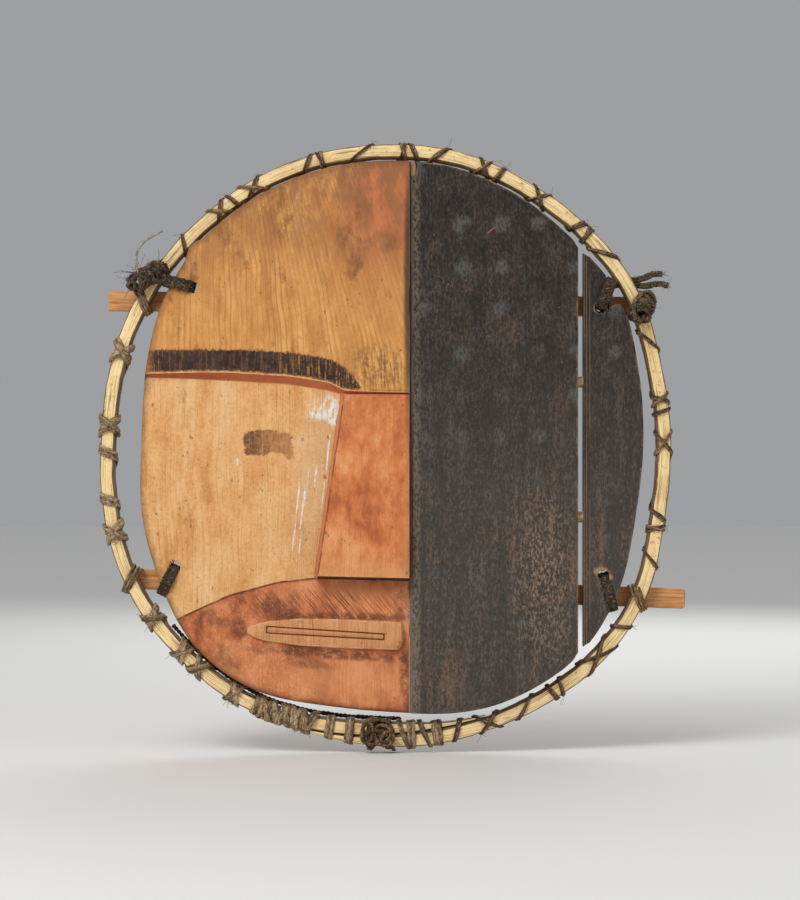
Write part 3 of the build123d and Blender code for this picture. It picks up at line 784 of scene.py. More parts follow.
def buildNarrowBoard(finish):
    left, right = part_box("narrow_board")[0].x / mm, edgeX.max() - 0.02
    nominal = pinchedColumns(left, right, 46, False, True)
    nominal[1:6] = left + np.array([1.1, 2.2, 3.3, 4.4, 4.7])
    z = rowHeights(nominal, [(None, 260, True, True)])
    x = np.repeat(nominal[:, None], z.shape[1], 1)
    upper = tieSpots["upper_right_tie"][0]
    lower, lowerFar = tieSpots["lower_right_tie"]
    run = lowerFar - lower
    along = run / np.linalg.norm(run)
    corners = [(upper[0] + px, upper[1] + pz) for px, pz in darkBoards["broken"]]
    holes = [(*upper, carving["holeRadius"]), (*lower, carving["holeRadius"])]

    def broken(px, pz):
        return insidePolygon(px, pz, corners)

    def forward(px, pz):
        distance = np.clip(edgeDistance(px, pz), 0, None)
        side = np.clip(px - left, 0, None)
        rabbet = darkBoards["rabbetDeep"] * (1 - ramp01(side, 4.4, 4.7))
        lines = 0.5 * np.exp(-((side - 2.2) / 0.5) ** 2)
        far = (px - lower[0]) * along[0] + (pz - lower[1]) * along[1]
        off = np.abs((px - lower[0]) * along[1] - (pz - lower[1]) * along[0])
        grooveSide = ramp01(off, darkBoards["grooveHalf"] - 1.2, darkBoards["grooveHalf"])
        groove = darkBoards["grooveDeep"] * (1 - grooveSide) * (far > 0)
        rim = np.clip(np.minimum(holeField(px, pz, holes), broken(px, pz)), 0, None)
        return (darkBoards["front"] + darkUneven(px, pz) - edgeDrop(distance, darkBoards["edgeRound"])
                - rabbet - lines - groove - edgeDrop(rim, 0.8))

    points, faces, gx, gz, used, offset = boardMesh(x, z, forward, holes, broken, 1.2)
    marks = {
        "grain": gx + 1.2 * ripple(gx, gz, 140, 300, 13),
        "edgeIn": np.minimum(edgeDistance(gx, gz),
                             np.clip(np.minimum(holeField(gx, gz, holes), broken(gx, gz)), 0, None)),
        "seamIn": gx * 0 + 30,
        "rabbetIn": gx - left,
    }
    finishBoard("dark_narrow_board", points, faces, finish, "narrow_board", marks, used,
                offset)


# The bent rod hoop, in mm; from and to are where its ends lie side by side, in degrees
rod = {
    "back": 8.0,
    "front": 20.0,
    "from": 251.0,
    "to": 291.0,
    "tip": 1.0,
    "split": 0.3,
    "meanRadius": 228.0,
    "rings": 1100,
}


def buildHoop(finish):
    start, end = float(turnOf(rod["from"])), float(turnOf(rod["to"]))
    if start < 0:
        start += 2 * math.pi
    if end < start:
        end += 2 * math.pi
    turns = np.linspace(start, end + 2 * math.pi, rod["rings"])
    half = rodHalf(turns) / mm
    place = (turns - start) / (end - start)
    lastPlace = (turns - 2 * math.pi - start) / (end - start)
    slit = (half - rod["tip"]) * (1 - 2 * np.clip(place, 0, 1))
    lastSlit = (half - rod["tip"]) * (1 - 2 * np.clip(lastPlace, 0, 1))
    blendIn = easeTo(place, 1.0, 1.1)
    inner = np.where(place <= 1, slit + rod["split"],
                     (slit + rod["split"]) * (1 - blendIn) - half * blendIn)
    blendOut = easeTo(lastPlace, -0.1, 0.0)
    outer = np.where(lastPlace >= 0, lastSlit - rod["split"],
                     half * (1 - blendOut) + (lastSlit - rod["split"]) * blendOut)
    length = turns * rod["meanRadius"]
    inner = inner + 0.35 * waver(length, 70, 41) * (half < 7)
    outer = outer + 0.35 * waver(length, 85, 42) * (half < 7)
    front = rod["front"] + 0.3 * waver(length, 60, 43) - 0.2
    width = outer - inner
    points, marks = [], {"along": [], "across": [], "side": [], "shade": []}
    # the section, from the back inner corner round by the front: (share of width, forward, side amount)
    section = [(0.10, 0.0, 1), (0.0, 0.12, 1), (0.0, 0.45, 1), (0.0, 0.78, 1), (0.06, 0.90, 1.0),
               (0.16, 0.985, 0.85), (0.22, 1.0, 0.1), (0.5, 1.01, 0), (0.80, 1.0, 0), (0.89, 0.99, 0.25),
               (0.96, 0.94, 0.9), (1.0, 0.84, 1.0), (1.0, 0.45, 1), (1.0, 0.12, 1), (0.9, 0.0, 1),
               (0.5, -0.01, 1)]
    for share, rise, side in section:
        offset = inner + width * share
        forward = rod["back"] + 0.2 + (front - rod["back"] - 0.2) * rise
        points.append(onRod(turns, offset * mm, forward * mm))
        marks["along"].append(length)
        marks["across"].append(offset + 3 * rise)
        marks["side"].append(np.full_like(length, side))
        marks["shade"].append(waver(length, 160, 44))
    count, sides = len(turns), len(section)
    flat = np.stack(points, 1).reshape(-1, 3)
    index = np.arange(count * sides).reshape(count, sides)
    following = np.roll(index, -1, 1)
    faces = np.stack([index[:-1], following[:-1], following[1:], index[1:]], -1).reshape(-1, 4).tolist()
    faces.append(index[0][::-1].tolist())
    faces.append(index[-1].tolist())
    marks = {name: np.stack(value, 1).ravel() for name, value in marks.items()}
    makePiece("bent_rod_hoop", flat, faces, finish, ["hoop"], marks, 0.9)
    print("hoop", len(faces), "faces")


# Root lashing, in mm
lashing = {
    "clear": 0.35,
    "rootWide": 3.2,
    "rootThick": 1.4,
    "sideFore": 21.2,
    "sideBack": 6.6,
}


def softened(path, closed, rounds=3):
    # corner cutting, so a wound strip bends instead of folding
    path = np.asarray(path, float)
    for _ in range(rounds):
        after = np.roll(path, -1, 0) if closed else path[1:]
        before = path if closed else path[:-1]
        cut = np.stack([before * 0.75 + after * 0.25, before * 0.25 + after * 0.75], 1)
        cut = cut.reshape(-1, path.shape[1])
        path = cut if closed else np.concatenate([path[:1], cut, path[-1:]])
    return path


def evenly(path, step, closed):
    line = np.concatenate([path, path[:1]]) if closed else path
    run = runOf(line)
    count = max(4, int(run[-1] / step))
    marks = np.linspace(0, run[-1], count, endpoint=not closed)
    return np.stack([np.interp(marks, run, line[:, k]) for k in range(line.shape[1])], 1)


def unit(vectors):
    return vectors / (np.linalg.norm(vectors, axis=1, keepdims=True) + 1e-12)


def alongPath(path, closed):
    return unit((np.roll(path, -1, 0) - np.roll(path, 1, 0)) if closed else np.gradient(path, axis=0))


def squareTo(out, tangent):
    # the part of a direction that is square to the path
    return unit(out - tangent * (out * tangent).sum(1, keepdims=True))


def runOf(path):
    return np.concatenate([[0], np.cumsum(np.linalg.norm(np.diff(path, axis=0), axis=1))])


class Strips:
    # gathers tubes and flat strips into one piece
    def __init__(self):
        self.points, self.faces, self.along, self.across, self.tone = [], [], [], [], []
        self.total = 0

    def tube(self, path, out, wide, thick, closed, seed, sides=8, lobes=3.0, twist=0.0, tone=0.5,
             taper=True):
        # path in metres; out is which way the strip's broad side faces at each point
        path = np.asarray(path, float)
        count = len(path)
        tangent = alongPath(path, closed)
        out = squareTo(out, tangent)
        side = np.cross(tangent, out)
        run = runOf(path)
        draw = np.random.default_rng(seed)
        width = wide * (1 + 0.16 * waver(run, 0.018, seed)) / 2
        height = thick * (1 + 0.12 * waver(run, 0.012, seed + 1)) / 2
        if not closed and taper:
            ends = np.clip(np.minimum(run, run[-1] - run) / (wide * 1.2), 0.12, 1)
            width, height = width * ends, height * ends
        phase = draw.uniform(0, 6.28)
        rings = []
        for k in range(sides):
            turn = 2 * math.pi * k / sides
            roll = turn + twist * run
            ridge = 1 + 0.16 * np.sin(lobes * roll + phase + 160 * run)
            aside = (np.cos(turn) * width * ridge)[:, None]
            outward = (np.sin(turn) * height * ridge)[:, None]
            rings.append(path + side * aside + out * outward)
        grid = np.stack(rings, 1)
        index = np.arange(count * sides).reshape(count, sides) + self.total
        following = np.roll(index, -1, 1)
        if closed:
            nextRow, nextFollowing = np.roll(index, -1, 0), np.roll(following, -1, 0)
            quads = np.stack([index, following, nextFollowing, nextRow], -1).reshape(-1, 4)
            self.faces += quads.tolist()
        else:
            quads = np.stack([index[:-1], following[:-1], following[1:], index[1:]], -1).reshape(-1, 4)
            self.faces += quads.tolist() + [index[0][::-1].tolist(), index[-1].tolist()]
        self.points.append(grid.reshape(-1, 3))
        self.along.append(np.repeat(run / mm, sides))
        self.across.append(np.tile(np.arange(sides), count) * 1.0)
        self.tone.append(np.full(count * sides, tone))
        self.total += count * sides

    def piece(self, name, finish, slot, replaced):
        marks = {"along": np.concatenate(self.along), "across": np.concatenate(self.across),
                 "tone": np.concatenate(self.tone)}
        print(name, len(self.faces), "faces")
        return makePiece(name, np.concatenate(self.points), self.faces, finish, replaced, marks, 0)


def rodLoop(turns, closed, lift=0.0, jitter=0.0, seed=0):
    # a path round the rod: pairs of (inner, outer) stations in degrees, front strand between them
    draw = np.random.default_rng(seed)
    path, centres = [], []
    fore, back = lashing["sideFore"] + lift, lashing["sideBack"] - lift * 0.3
    for inner, outer in turns:
        inner = float(turnOf(inner + draw.normal(0, jitter)))
        outer = float(turnOf(outer + draw.normal(0, jitter)))
        for turn, side, forward in ((inner, -1, back), (inner, -1, fore), (outer, 1, fore),
                                    (outer, 1, back)):
            reach = rodHalf(turn) / mm + lashing["clear"] + 0.6 + lift
            path.append((turn, side * reach, forward))
            centres.append(turn)
    path = softened(path, closed, 2)
    spots = onRod(path[:, 0], path[:, 1] * mm, path[:, 2] * mm)
    cores = onRod(path[:, 0], path[:, 1] * 0, path[:, 0] * 0 + 0.0138)
    both = evenly(np.concatenate([spots, cores], 1), 0.0011, closed)
    spots, cores = both[:, :3], both[:, 3:]
    return spots, spots - cores


def windRoot(strips, turns, wide, count, seed, closed=False, spreadOut=1.0, thick=None, tone=0.5, lift=0.0):
    # a root strip as a few fibrous splits side by side
    for number in range(count):
        shift = (number - (count - 1) / 2) * wide / count / 4.1 * spreadOut
        moved = [(a + shift, b + shift) for a, b in turns]
        path, out = rodLoop(moved, closed, lift + 0.25 * number, 0.12, seed + number)
        strips.tube(path, out, wide / count * 1.5 * mm, (thick or lashing["rootThick"]) * mm, closed,
                    seed * 10 + number, tone=tone + 0.24 * math.sin(seed * 3.1 + number * 2.3))


def strayFibres(strips, places, seed, number, long=0.006, radius=0.00012):
    # short stiff hairs that stand off the lashing
    draw = np.random.default_rng(seed)
    for index in range(number):
        start = places[draw.integers(len(places))]
        way = draw.normal(size=3)
        way[1] = -abs(way[1]) * 0.6
        way /= np.linalg.norm(way)
        bend = draw.normal(size=3) * 0.5
        share = np.linspace(0, 1, 7)[:, None]
        reach = long * draw.uniform(0.5, 1.3)
        path = start + way * share * reach + bend * share ** 2 * reach * 0.5
        path[:, 1] = np.clip(path[:, 1], -0.0395, -0.001)
        path[:, 2] = np.clip(path[:, 2], cadBox[0][2] + 0.0005, None)
        out = np.tile(np.cross(way, [0.3, 0.1, 0.9]), (7, 1))
        strips.tube(path, out, radius * 2.4, radius * 2.4, False, seed + index, sides=4,
                    tone=draw.uniform(0.2, 0.9), taper=False)


# thin strips wound along the rod: where each turn crosses its inner and its outer side, in degrees
windings = {
    "upper_left_lashing": [
        ((138.5, 136), (128.7, 125.3), (123.2, 124.1), (121, 116.5), (108.1, 105.1), (103, 104),
         (98.5, 92.6), (86.8, 86.1), (83.3, 84.9)),
    ],
    "upper_right_lashing": [
        ((80.6, 77.4), (70.6, 68.3), (66.3, 65.4), (58.4, 54.9), (47.8, 46.1), (43.9, 44.9),
         (42.2, 37)),
    ],
    "right_lashing": [
        ((22.5, 18.1), (9.4, 7.7), (5.6, 6.6), (2, -1.9), (-13, -15), (-17.3, -16), (-21, -24)),
    ],
    "lower_right_lashing": [
        ((-37.3, -35.4), (-40.2, -47.1), (-52.3, -53.3), (-55.1, -54.5), (-58.9, -63.2), (-66.8, -70.8),
         (-74.3, -76.2)),
    ],
}


def buildThinLashings(finish):
    for number, (node, runs) in enumerate(windings.items()):
        strips = Strips()
        for turns in runs:
            windRoot(strips, turns, lashing["rootWide"], 2, 100 + number * 7, tone=0.35)
        joints = [(a, b) for turns in runs for a, b in turns]
        for index, (inner, outer) in enumerate(joints):
            if index % 2 == 1:
                # a second turn crosses the first here and there, as the strip doubles back
                windRoot(strips, [(outer - 0.5, inner + 0.3)], 2.2, 1, 160 + number * 11 + index, True,
                         thick=1.1, tone=0.45, lift=0.4)
        spots = onRod(turnOf([b for _, b in joints]), np.full(len(joints), 0.0075),
                      np.full(len(joints), 0.020))
        strayFibres(strips, spots, 300 + number, 12)
        strips.piece("root_" + node, finish, "root_strip", [node])


# bundles of several strips: stations round the rod, and where more strips cross over them
bundles = {
    "left_lashing": {
        "seed": 400,
        "turns": ((198.6, 196.4), (191.8, 190.6), (182.6, 181.2), (177.4, 175.6), (163.4, 160)),
        "wide": 7.0,
        "crossedAt": (161.8, 176.5, 197.2),
        "crossings": ((-1.6, 1.6, 5.5, 1.5, 0.72, 0.8), (1.5, -1.4, 4.5, 1.4, 0.55, 1.3)),
        "hairsAt": (161, 163, 176, 181, 190, 197, 199),
        "hairsFrom": (-0.002, 0.022),
        "hairs": 34,
    },
    "lower_left_lashing": {
        "seed": 500,
        "turns": ((237.6, 237), (229.6, 227.4), (224.6, 223.8), (216, 215.2)),
        "wide": 6.5,
        "crossedAt": (215.4, 224.2, 228.6, 237.4),
        "crossings": ((-1.5, 1.3, 5.0, 1.5, 0.75, 0.8), (1.2, -1.2, 4.0, 1.4, 0.5, 1.3)),
        "hairsAt": (214, 216, 223, 228, 237),
        "hairsFrom": (0.006, 0.020),
        "hairs": 30,
    },
}


def buildWideLashings(finish):
    for node, bundle in bundles.items():
        strips = Strips()
        seed = bundle["seed"]
        windRoot(strips, bundle["turns"], bundle["wide"], 3, seed + 10, tone=0.6)
        for index, place in enumerate(bundle["crossedAt"]):
            for layer, (start, end, wide, thick, tone, lift) in enumerate(bundle["crossings"]):
                windRoot(strips, [(place + start, place + end)], wide, 2,
                         seed + 30 + layer * 20 + index * 5, True, thick=thick, tone=tone, lift=lift)
        count = len(bundle["hairsAt"])
        spots = onRod(turnOf(bundle["hairsAt"]), *(np.full(count, reach) for reach in bundle["hairsFrom"]))
        strayFibres(strips, spots, seed + 80, bundle["hairs"])
        strips.piece("root_" + node, finish, "root_strip", [node])


def buildScarfBands(finish):
    strips = Strips()
    for index, (place, wide) in enumerate(((280.4, 8), (275.2, 6), (262.2, 7), (258, 6.4))):
        windRoot(strips, [(place, place + 0.2)], wide, 3, 610 + index * 5, True, thick=1.5, tone=0.62)
    windRoot(strips, [(276.8, 278.9)], 3.2, 2, 650, True, tone=0.4, lift=0.6)
    windRoot(strips, [(272.6, 274.8)], 3.0, 2, 655, True, tone=0.4, lift=0.6)
    strips.piece("root_scarf_bands", finish, "root_strip", ["scarf_bands"])


def buildScarfWinding(finish):
    # close turns over one tapered end of the rod
    strips = Strips()
    for turn in range(12):
        lean = 0.9 * math.sin(turn * 2.1)
        windRoot(strips, [(242.4 + turn * 1.05 - lean, 242.4 + turn * 1.05 + lean)], 4.6, 2, 700 + turn * 3,
                 True, thick=1.7, tone=0.55 + 0.2 * math.sin(turn * 1.7), lift=0.2 + 0.5 * (turn % 3))
    for turn in range(5):
        windRoot(strips, [(243.5 + turn * 2.1, 245.6 + turn * 2.0)], 3.6, 1, 760 + turn * 3, True,
                 thick=1.6, tone=0.8, lift=1.6)
    spots = onRod(turnOf(np.linspace(242, 254, 9)), np.linspace(-0.006, 0.008, 9), np.full(9, 0.023))
    strayFibres(strips, spots, 790, 40)
    strips.piece("root_scarf_winding", finish, "root_strip", ["scarf_winding"])


# the knot's turns round the rod (from, to, lift, width) and its loops in front (place, size, tilt, tone)
scarfKnot = {
    "turns": ((266.2, 266.6, 0.3, 3.6), (268.0, 267.2, 0.6, 3.6), (269.5, 270.6, 0.5, 3.6),
              (267.0, 271.6, 1.6, 3.4), (270.8, 266.8, 2.4, 3.2)),
    "loops": ((-2, 2.5, 11.5, 8.5, -28, 0.55), (1.5, 2.0, 10.5, 8.0, -40, 0.35),
              (3.5, -1.5, 8.5, 7.0, -60, 0.6), (-5, -3.0, 7.5, 5.5, 20, 0.3),
              (6.5, -4.0, 6.0, 4.5, 70, 0.45), (-9.5, 0.5, 4.5, 8.0, -8, 0.4)),
}


def buildScarfKnot(finish):
    strips = Strips()
    for index, (inner, outer, lift, wide) in enumerate(scarfKnot["turns"]):
        windRoot(strips, [(inner, outer)], wide, 2, 800 + index * 5, True, thick=1.6,
                 tone=0.30 + 0.12 * (index % 3), lift=lift)
    place = float(turnOf(268.6))
    middle = onRod(place, -0.001, 0.0245)
    for index, (shiftX, shiftZ, wide, tall, tilt, tone) in enumerate(scarfKnot["loops"]):
        share = np.linspace(0, 2 * math.pi, 60, endpoint=False)
        c, d = math.cos(math.radians(tilt)), math.sin(math.radians(tilt))
        u, v = wide * np.cos(share), tall * np.sin(share)
        w = 3.0 * np.cos(share * 2 + index) + 0.8 * index
        path = np.stack([middle[0] + (shiftX + u * c - v * d) * mm, middle[1] - w * 0.6 * mm,
                         middle[2] + (shiftZ + u * d + v * c) * mm], 1)
        path[:, 2] = np.clip(path[:, 2], cadBox[0][2] + 0.0012, None)
        path = evenly(path, 0.001, True)
        out = path - middle + np.array([0, -0.004, 0])
        twistPath(strips, path, out, 1.5, 820 + index * 3, tone, True, 4.5)
    spots = onRod(turnOf(np.linspace(265, 272, 6)), np.linspace(-0.008, 0.004, 6), np.full(6, 0.027))
    strayFibres(strips, spots, 850, 20, 0.006)
    strips.piece("root_scarf_knot", finish, "root_strip", ["scarf_knot"])


# Plaited ties, knots and bindings, in mm
plait = {
    "reach": 1.75,
    "strand": 1.2,
    "pitch": 8.0,
    "cordsApart": 4.0,
}
# How far forward each tie runs and, where it goes over the rod, how far short of its end it starts down
tieRuns = {
    "upper_left_tie": (34.2, 21),
    "upper_right_tie": (30.6, None),
    "lower_left_tie": (28.4, None),
    "lower_right_tie": (27.0, None),
}


def braid(strips, path, closed, seed, reach, strand, pitch, tone=0.35):
    # three strands that cross over each other along a path, in metres
    path = evenly(np.asarray(path, float), 0.0007, closed)
    tangent = alongPath(path, closed)
    flat = np.tile([0.0, -1.0, 0.0], (len(path), 1))
    run = runOf(path)
    lateral = np.cross(tangent, flat)
    size = np.linalg.norm(lateral, axis=1, keepdims=True)
    # where the cord runs straight forward, another place's sideways is taken
    lateral = np.where(size < 0.35, lateral[int(np.argmax(size))], lateral)
    for _ in range(12 if closed else 0):  # evened out round the loop
        lateral = (np.roll(lateral, 1, 0) + lateral + np.roll(lateral, -1, 0)) / 3
    lateral = squareTo(lateral, tangent)
    out = np.cross(lateral, tangent)
    turns = max(2, round(run[-1] / mm / pitch)) if closed else run[-1] / mm / pitch
    phase = 2 * math.pi * turns * run / run[-1]
    for k in range(3):  # each strand swings aside once and forward twice a turn
        shift = phase + 2 * math.pi * k / 3
        aside = (np.sin(shift) * reach * mm)[:, None]
        outward = (np.sin(2 * shift) * reach * 0.5 * mm)[:, None]
        line = path + lateral * aside + out * outward
        strips.tube(line, out, strand * 2 * mm, strand * 2 * mm, closed, seed + k, sides=7, lobes=2,
                    tone=tone + 0.12 * (k - 1), taper=False)


def tiePath(ends, fore, hoopFrom=None, offset=0.0, back=2.1):
    # hole, over the board, down at the far side and back behind
    hole, far = ends
    along = (far - hole) / np.linalg.norm(far - hole)
    side = np.array([-along[1], along[0]]) * offset
    length = np.linalg.norm(far - hole)
    spots = [(0, back), (0, fore)]
    if hoopFrom:
        spots += [(length - hoopFrom, fore), (length, 22.0)]
    else:
        spots += [(length, fore)]
    spots += [(length, back)]
    path = []
    for reach, forward in spots:
        x, z = hole + along * reach + side
        path.append((x * mm, -forward * mm, z * mm + hoopMiddleUp))
    return softened(path, True, 3)


def tangle(strips, centre, size, tilt, loops, seed, radius, tone=0.3):
    # a hitched knot: loops of cord wrapped over an egg shape; centre and size in mm
    draw = np.random.default_rng(seed)
    c, s = math.cos(math.radians(tilt)), math.sin(math.radians(tilt))
    for number in range(loops):
        share = np.linspace(0, 2 * math.pi, 64, endpoint=False)
        swing = draw.normal(0, 0.55)
        lean = draw.uniform(-0.9, 0.9)
        shift = draw.uniform(-0.55, 0.55)
        scale = draw.uniform(0.72, 0.98)
        if number % 3 == 2:
            u = np.cos(share) * scale
            v = np.sin(share) * 0.8 * scale + 0.2 * np.sin(2 * share + swing)
            w = 0.9 * scale * np.sin(share + lean) * 0.8 + 0.15
        else:
            ring = math.sqrt(max(0.1, 1 - shift ** 2))
            u = shift + 0.35 * np.sin(share + swing)
            v = ring * np.cos(share) * scale
            w = ring * np.sin(share) * scale
        u = u + 0.06 * waver(share * 10, 17, seed + number)
        x = (u * size[0] * c - v * size[1] * s) / 2
        z = (u * size[0] * s + v * size[1] * c) / 2
        y = w * size[2] / 2
        path = np.stack([(centre[0] + x) * mm, -(centre[2] + y) * mm,
                         (centre[1] + z) * mm + hoopMiddleUp], 1)
        path = evenly(path, 0.0012, True)
        out = path - np.array([centre[0] * mm, -centre[2] * mm, centre[1] * mm + hoopMiddleUp])
        twistPath(strips, path, out, radius, seed * 7 + number, tone + draw.uniform(-0.15, 0.25))


def twistPath(strips, path, out, radius, seed, tone, closed=True, pitch=5.0):
    # two-ply cord along a path
    tangent = alongPath(path, closed)
    out = squareTo(out, tangent)
    side = np.cross(tangent, out)
    run = runOf(path)
    turns = max(1, round(run[-1] / mm / pitch)) if closed else run[-1] / mm / pitch
    phase = 2 * math.pi * turns * run / max(run[-1], 1e-9)
    for k in range(2):
        shift = phase + math.pi * k
        line = path + (side * np.cos(shift)[:, None] + out * np.sin(shift)[:, None]) * radius * 0.5 * mm
        strips.tube(line, out, radius * 1.25 * mm, radius * 1.25 * mm, closed, seed + k, sides=6, lobes=2,
                    tone=tone, taper=False)


def buildTies(finish):
    for number, (node, (fore, hoopFrom)) in enumerate(tieRuns.items()):
        ends = tieSpots[node]
        strips = Strips()
        for k in range(2):  # two cords side by side
            path = tiePath(ends, fore + 0.4 * k, hoopFrom, (k - 0.5) * plait["cordsApart"], 2.6)
            braid(strips, path, True, 900 + number * 9 + k * 3, plait["reach"], plait["strand"],
                  plait["pitch"], tone=0.22 + 0.08 * k)
        spots = [(x * mm, -fore * mm, z * mm + hoopMiddleUp) for x, z in ((ends[0] + ends[1]) / 2, ends[0])]
        strayFibres(strips, np.array(spots), 940 + number, 10, 0.006)
        strips.piece("plaited_" + node, finish, "braided_cord", [node])


def nodeMiddle(node):
    low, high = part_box(node)
    return (low.x + high.x) / 2 / mm, ((low.z + high.z) / 2 - hoopMiddleUp) / mm


# Knots of cord. A round of loops has its place from the knot's middle, its size, tilt, count, seed,
# cord radius and tone.
cordKnots = {
    "upper_left_knot": {
        "rounds": (((0, 0, 28), (38, 16, 14), 30, 13, 21, 1.45, 0.32),
                   ((4, 3, 28), (22, 15, 13), 36, 6, 22, 1.4, 0.5),
                   ((-9, -5, 28), (17, 12, 12), 20, 5, 23, 1.4, 0.45)),
        "hairsAt": ((-16, -2), (-11, 3), (-5, 6), (2, 9), (9, 12), (-14, -8), (13, 8), (-1, 5)),
        "hairs": (951, 70, 0.0085),
        "hairsForward": 0.030,
    },
    "upper_right_knot": {
        "middle": (204.6, 107.2),
        "rounds": (((0, 0, 28), (27, 19, 14), 66, 13, 31, 1.45, 0.42),
                   ((2, 6, 29), (16, 15, 13), 20, 5, 32, 1.4, 0.55)),
        "hairsAt": ((-6, 4), (5, 7), (8, 0), (-3, -9)),
        "hairs": (980, 26, 0.005),
        "hairsForward": 0.033,
    },
}
# two loose plaits go behind the rod by the right knot: across, up and forward, in mm
loosePlaits = (
    ((181, 129, 20), (184, 130, 9), (190, 130, 4.6), (199, 131, 4.6), (206, 132, 10), (209, 133, 22),
     (213, 135, 28), (219.5, 134.5, 29)),
    ((182, 126, 20), (185, 127, 9), (191, 127, 4.6), (200, 127, 4.6), (208, 126, 10), (211, 126, 22),
     (216, 127.5, 28), (224.5, 125.5, 29)),
)


def buildKnots(finish):
    for node, knot in cordKnots.items():
        strips = Strips()
        across, up = knot.get("middle", nodeMiddle(node))
        for (aside, above, forward), size, tilt, loops, seed, radius, tone in knot["rounds"]:
            tangle(strips, (across + aside, up + above, forward), size, tilt, loops, seed, radius, tone)
        if node == "upper_right_knot":
            for index, spine in enumerate(loosePlaits):
                path = softened([(x * mm, -forward * mm, z * mm + hoopMiddleUp) for x, z, forward in spine],
                                False, 3)
                braid(strips, path, False, 960 + index * 4, 1.6, 1.15, 7.0, 0.5)
                strayFibres(strips, path[-3:], 970 + index, 14, 0.004)
        spots = np.array([[(across + aside) * mm, -knot["hairsForward"], (up + above) * mm + hoopMiddleUp]
                          for aside, above in knot["hairsAt"]])
        strayFibres(strips, spots, *knot["hairs"])
        strips.piece(node.replace("knot", "cord_knot"), finish, "braided_cord", [node])


def buildBindings(finish, paleFinish):
    # bands that hold the hoop to the sticks; each follows its packed band
    for number, node in enumerate(("upper_left_binding", "upper_right_binding", "lower_left_binding",
                                   "lower_right_binding")):
        low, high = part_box(node)
        lean = 1 if node in ("upper_right_binding", "lower_left_binding") else -1
        middle = np.array([(low.x + high.x) / 2, (low.z + high.z) / 2])
        turn = math.radians(65 if lean > 0 else 115)
        along = np.array([math.cos(turn), math.sin(turn)])
        across = np.array([-along[1], along[0]])
        reach = (high.z - low.z) / 2 / math.sin(turn) - 0.0018
        strips = Strips()
        for k, (shift, fan) in enumerate(((-3.0, -1.2), (-1.6, 0.8), (-0.2, -0.5), (1.2, 1.4), (2.6, 0.2))):
            fore = 0.0214 + 0.0004 * (k % 3)
            spots = []
            for side, forward in ((-1, 0.0012), (-1, fore), (1, fore), (1, 0.0012)):
                flat = middle + along * side * (reach + 0.0002 * k) + across * (shift + fan * side) * mm
                spots.append((flat[0], -forward, flat[1]))
            path = softened(spots, True, 3)
            core = np.array([middle[0], -0.0115, middle[1]])
            path = evenly(path, 0.001, True)
            strips.tube(path, path - core, 2.0 * mm, 1.2 * mm, True, 990 + number * 7 + k,
                        tone=0.35 + 0.35 * ((k * 2) % 5) / 4)
        strips.piece("root_" + node, paleFinish if number == 0 else finish, "root_strip", [node])


def buildInnerRope(finish):
    # the running end, laid along the inner side of the hoop behind the turns
    strips = Strips()
    turns = turnOf(np.linspace(219, 264 + 9, 160))
    half = rodHalf(turns)
    path = onRod(turns, -half - 0.0018, np.full_like(turns, 0.0048))
    out = np.tile([0.0, -1.0, 0.0], (len(path), 1))
    both = evenly(np.concatenate([path, out], 1), 0.001, False)
    twistPath(strips, both[:, :3], both[:, 3:], 1.75, 1200, 0.2, False, 7.0)
    strips.piece("twisted_inner_rope", finish, "braided_cord", ["inner_rope"])


